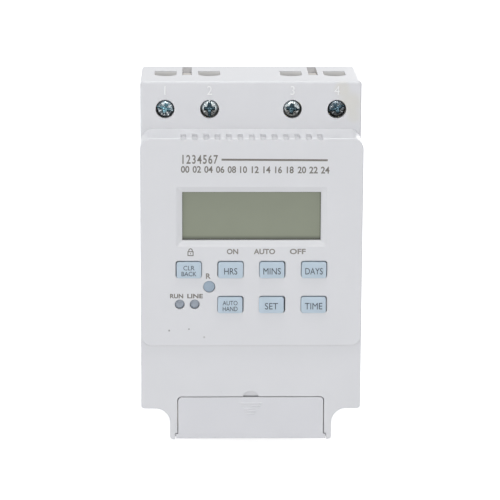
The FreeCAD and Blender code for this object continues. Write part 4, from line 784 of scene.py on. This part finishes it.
# Rear base: a second ABS moulding with hollow feet that straddle the rail, screwed to the housing from behind.
# A black acetal latch slides in it on a steel spring.
# Painted shade deeper in its pockets and in its snap windows.
dress("rear_base", moulded_plastic("moulded_abs_base", "#d9dade", roughness=0.45, specks=0.3,
                                   pocket_light_and_shade=("#d9dade", "#c8c3bc")))
dress("din_latch", moulded_plastic("moulded_acetal_black", "#1d1d1f", roughness=0.35))
dress("case_screws", plated_metal("zinc_plate_screws", "#a3a9ac", 0.3))


def coil(name, centre, radius, wire, low, high, turns, around=14):
    """Spring wire: a round tube along a helix that flattens at both ends, where the pitch eases to the wire's size.
    Each point is the helix plus the wire's radius along the axis and along the way out from it."""
    steps, flatten = turns * 48, 0.55
    t = np.linspace(0, 1, steps + 1)
    angle = 2 * math.pi * turns * t
    ease = t - np.sin(2 * math.pi * t) / (2 * math.pi) * flatten
    rise = low + wire / 2 + (high - low - wire) * ease
    out = np.column_stack([np.cos(angle), np.sin(angle), np.zeros_like(angle)])
    line = out * radius + np.column_stack([np.full_like(t, centre[0]), np.full_like(t, centre[1]), rise])
    up = np.array([0.0, 0.0, 1.0])
    phi = np.linspace(0, 2 * math.pi, around, endpoint=False)
    ring = out[:, None, :] * np.cos(phi)[None, :, None] + up * np.sin(phi)[None, :, None]
    points = (line[:, None, :] + ring * wire / 2).reshape(-1, 3)
    i, j = np.meshgrid(np.arange(steps), np.arange(around), indexing="ij")
    k = (j + 1) % around
    quads = np.stack([i * around + j, i * around + k, (i + 1) * around + k, (i + 1) * around + j], -1)
    last = steps * around
    ends = [list(range(around)), list(range(last, last + around))]
    return mesh_object(name, points, quads.reshape(-1, 4).tolist() + ends, 60.0)


low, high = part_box("latch_spring")
wire, spring_turns, spring_travel = 0.6 * MM, 7, 4.0 * MM
spring_x, spring_y = (low.x + high.x) / 2, (low.y + high.y) / 2
spring = coil("latch_spring_wire", (spring_x, spring_y), (high.x - low.x - wire) / 2, wire, low.z, high.z,
              spring_turns)
spring.data.materials.append(plated_metal("drawn_spring_steel", "#8b8d8f", 0.28))
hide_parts("latch_spring")
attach(spring, "root")
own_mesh(spring)

# Battery: a small round cell in a plain shrunk sleeve, loose in the cradles of its tray behind the door.
# Its contacts are bent from nickel-plated spring steel.
cell_low, cell_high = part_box("battery_cell")
bare_left, bare_right = cell_low.x + 0.5 * MM, cell_high.x - 1.4 * MM


def cell_jacket():
    """Jacket of shrunk film: plain green, glossy, a little scuffed, and bare steel at both ends."""
    scuff = 2 * MM
    material, tree, shader, place = new_material("shrunk_film_green")
    along = add(tree, "ShaderNodeSeparateXYZ", {0: place}).outputs["X"]
    right = add(tree, "ShaderNodeMath", {0: along}, {1: bare_right}, operation="GREATER_THAN")
    left = add(tree, "ShaderNodeMath", {0: along}, {1: bare_left}, operation="LESS_THAN")
    bare = add(tree, "ShaderNodeMath", {0: left.outputs[0], 1: right.outputs[0]}, operation="MAXIMUM")
    scuffs = add(tree, "ShaderNodeTexNoise", {"Vector": place}, {"Scale": 1 / scuff, "Detail": 5.0})
    body = add(tree, "ShaderNodeMix", {"Factor": scuffs.outputs["Fac"]},
               {6: linear("#3d7a55"), 7: linear("#4a8b63")}, data_type="RGBA")
    shown = add(tree, "ShaderNodeMix", {"Factor": bare.outputs[0], 6: body.outputs[2]}, {7: linear("#c3c4c2")},
                data_type="RGBA")
    join(tree, shader, {"Base Color": shown.outputs[2], "Metallic": bare.outputs[0]},
         {"Roughness": 0.28, "Coat Weight": 0.3})
    return material


dress("battery_cell", cell_jacket())
for side in ("plus", "minus"):
    dress("battery_contact_" + side, plated_metal("nickelled_spring_steel_" + side, "#bdbab0", 0.25))

# Boards and what they carry: glass-fibre laminate under green solder mask, with the parts behind the display
# and the power supply and relay on the base.


def laminate(name, mask, copper):
    """Solder mask over copper: green, with the tracks underneath as slightly lighter, raised runs, which are sine
    waves of the distance to the points of an uneven grid."""
    pad_gap, wave, copper_thick = 5 * MM, 7.0, 0.035 * MM
    material, tree, shader, place = new_material(name)
    tracks = add(tree, "ShaderNodeTexVoronoi", {"Vector": place}, {"Scale": 1 / pad_gap}, distance="MANHATTAN",
                 feature="F1")
    runs = add(tree, "ShaderNodeMath", {0: tracks.outputs["Distance"]}, {1: wave}, operation="MULTIPLY")
    waves = add(tree, "ShaderNodeMath", {0: runs.outputs[0]}, operation="SINE")
    line = add(tree, "ShaderNodeMapRange", {"Value": waves.outputs[0]}, {"From Min": 0.2, "From Max": 0.4})
    tint = add(tree, "ShaderNodeMix", {"Factor": line.outputs[0]}, {6: linear(mask), 7: linear(copper)},
               data_type="RGBA")
    relief = add(tree, "ShaderNodeBump", {"Height": line.outputs[0]}, {"Strength": 0.5, "Distance": copper_thick})
    join(tree, shader, {"Base Color": tint.outputs[2], "Normal": relief.outputs[0]}, {"Roughness": 0.3, "IOR": 1.5})
    return material


green_board = laminate("solder_mask_green", "#1f4f2c", "#35703f")
dress("control_board", green_board)
dress("power_board", green_board)
for node, code, roughness in (
        ("controller_chip", "#17171a", 0.5), ("relay", "#22324f", 0.35), ("suppression_capacitor", "#b79d33", 0.4),
        ("electrolytic_capacitors", "#1b2340", 0.25), ("rectifier_diodes", "#1b1b1d", 0.4),
        ("power_resistor", "#6f9aa6", 0.35), ("varistor", "#27508f", 0.4), ("link_headers", "#141416", 0.45),
        ("lcd_contact_strips", "#4a4a4c", 0.7)):
    dress(node, moulded_plastic("moulded_" + node, code, roughness, grain=0.5))
for node, code in (("clock_crystal", "#b9babb"), ("control_board_screws", "#9ea3a6"),
                   ("power_board_screws", "#9ea3a6"), ("link_pins", "#c7ab62")):
    dress(node, plated_metal("plated_" + node, code, 0.28))
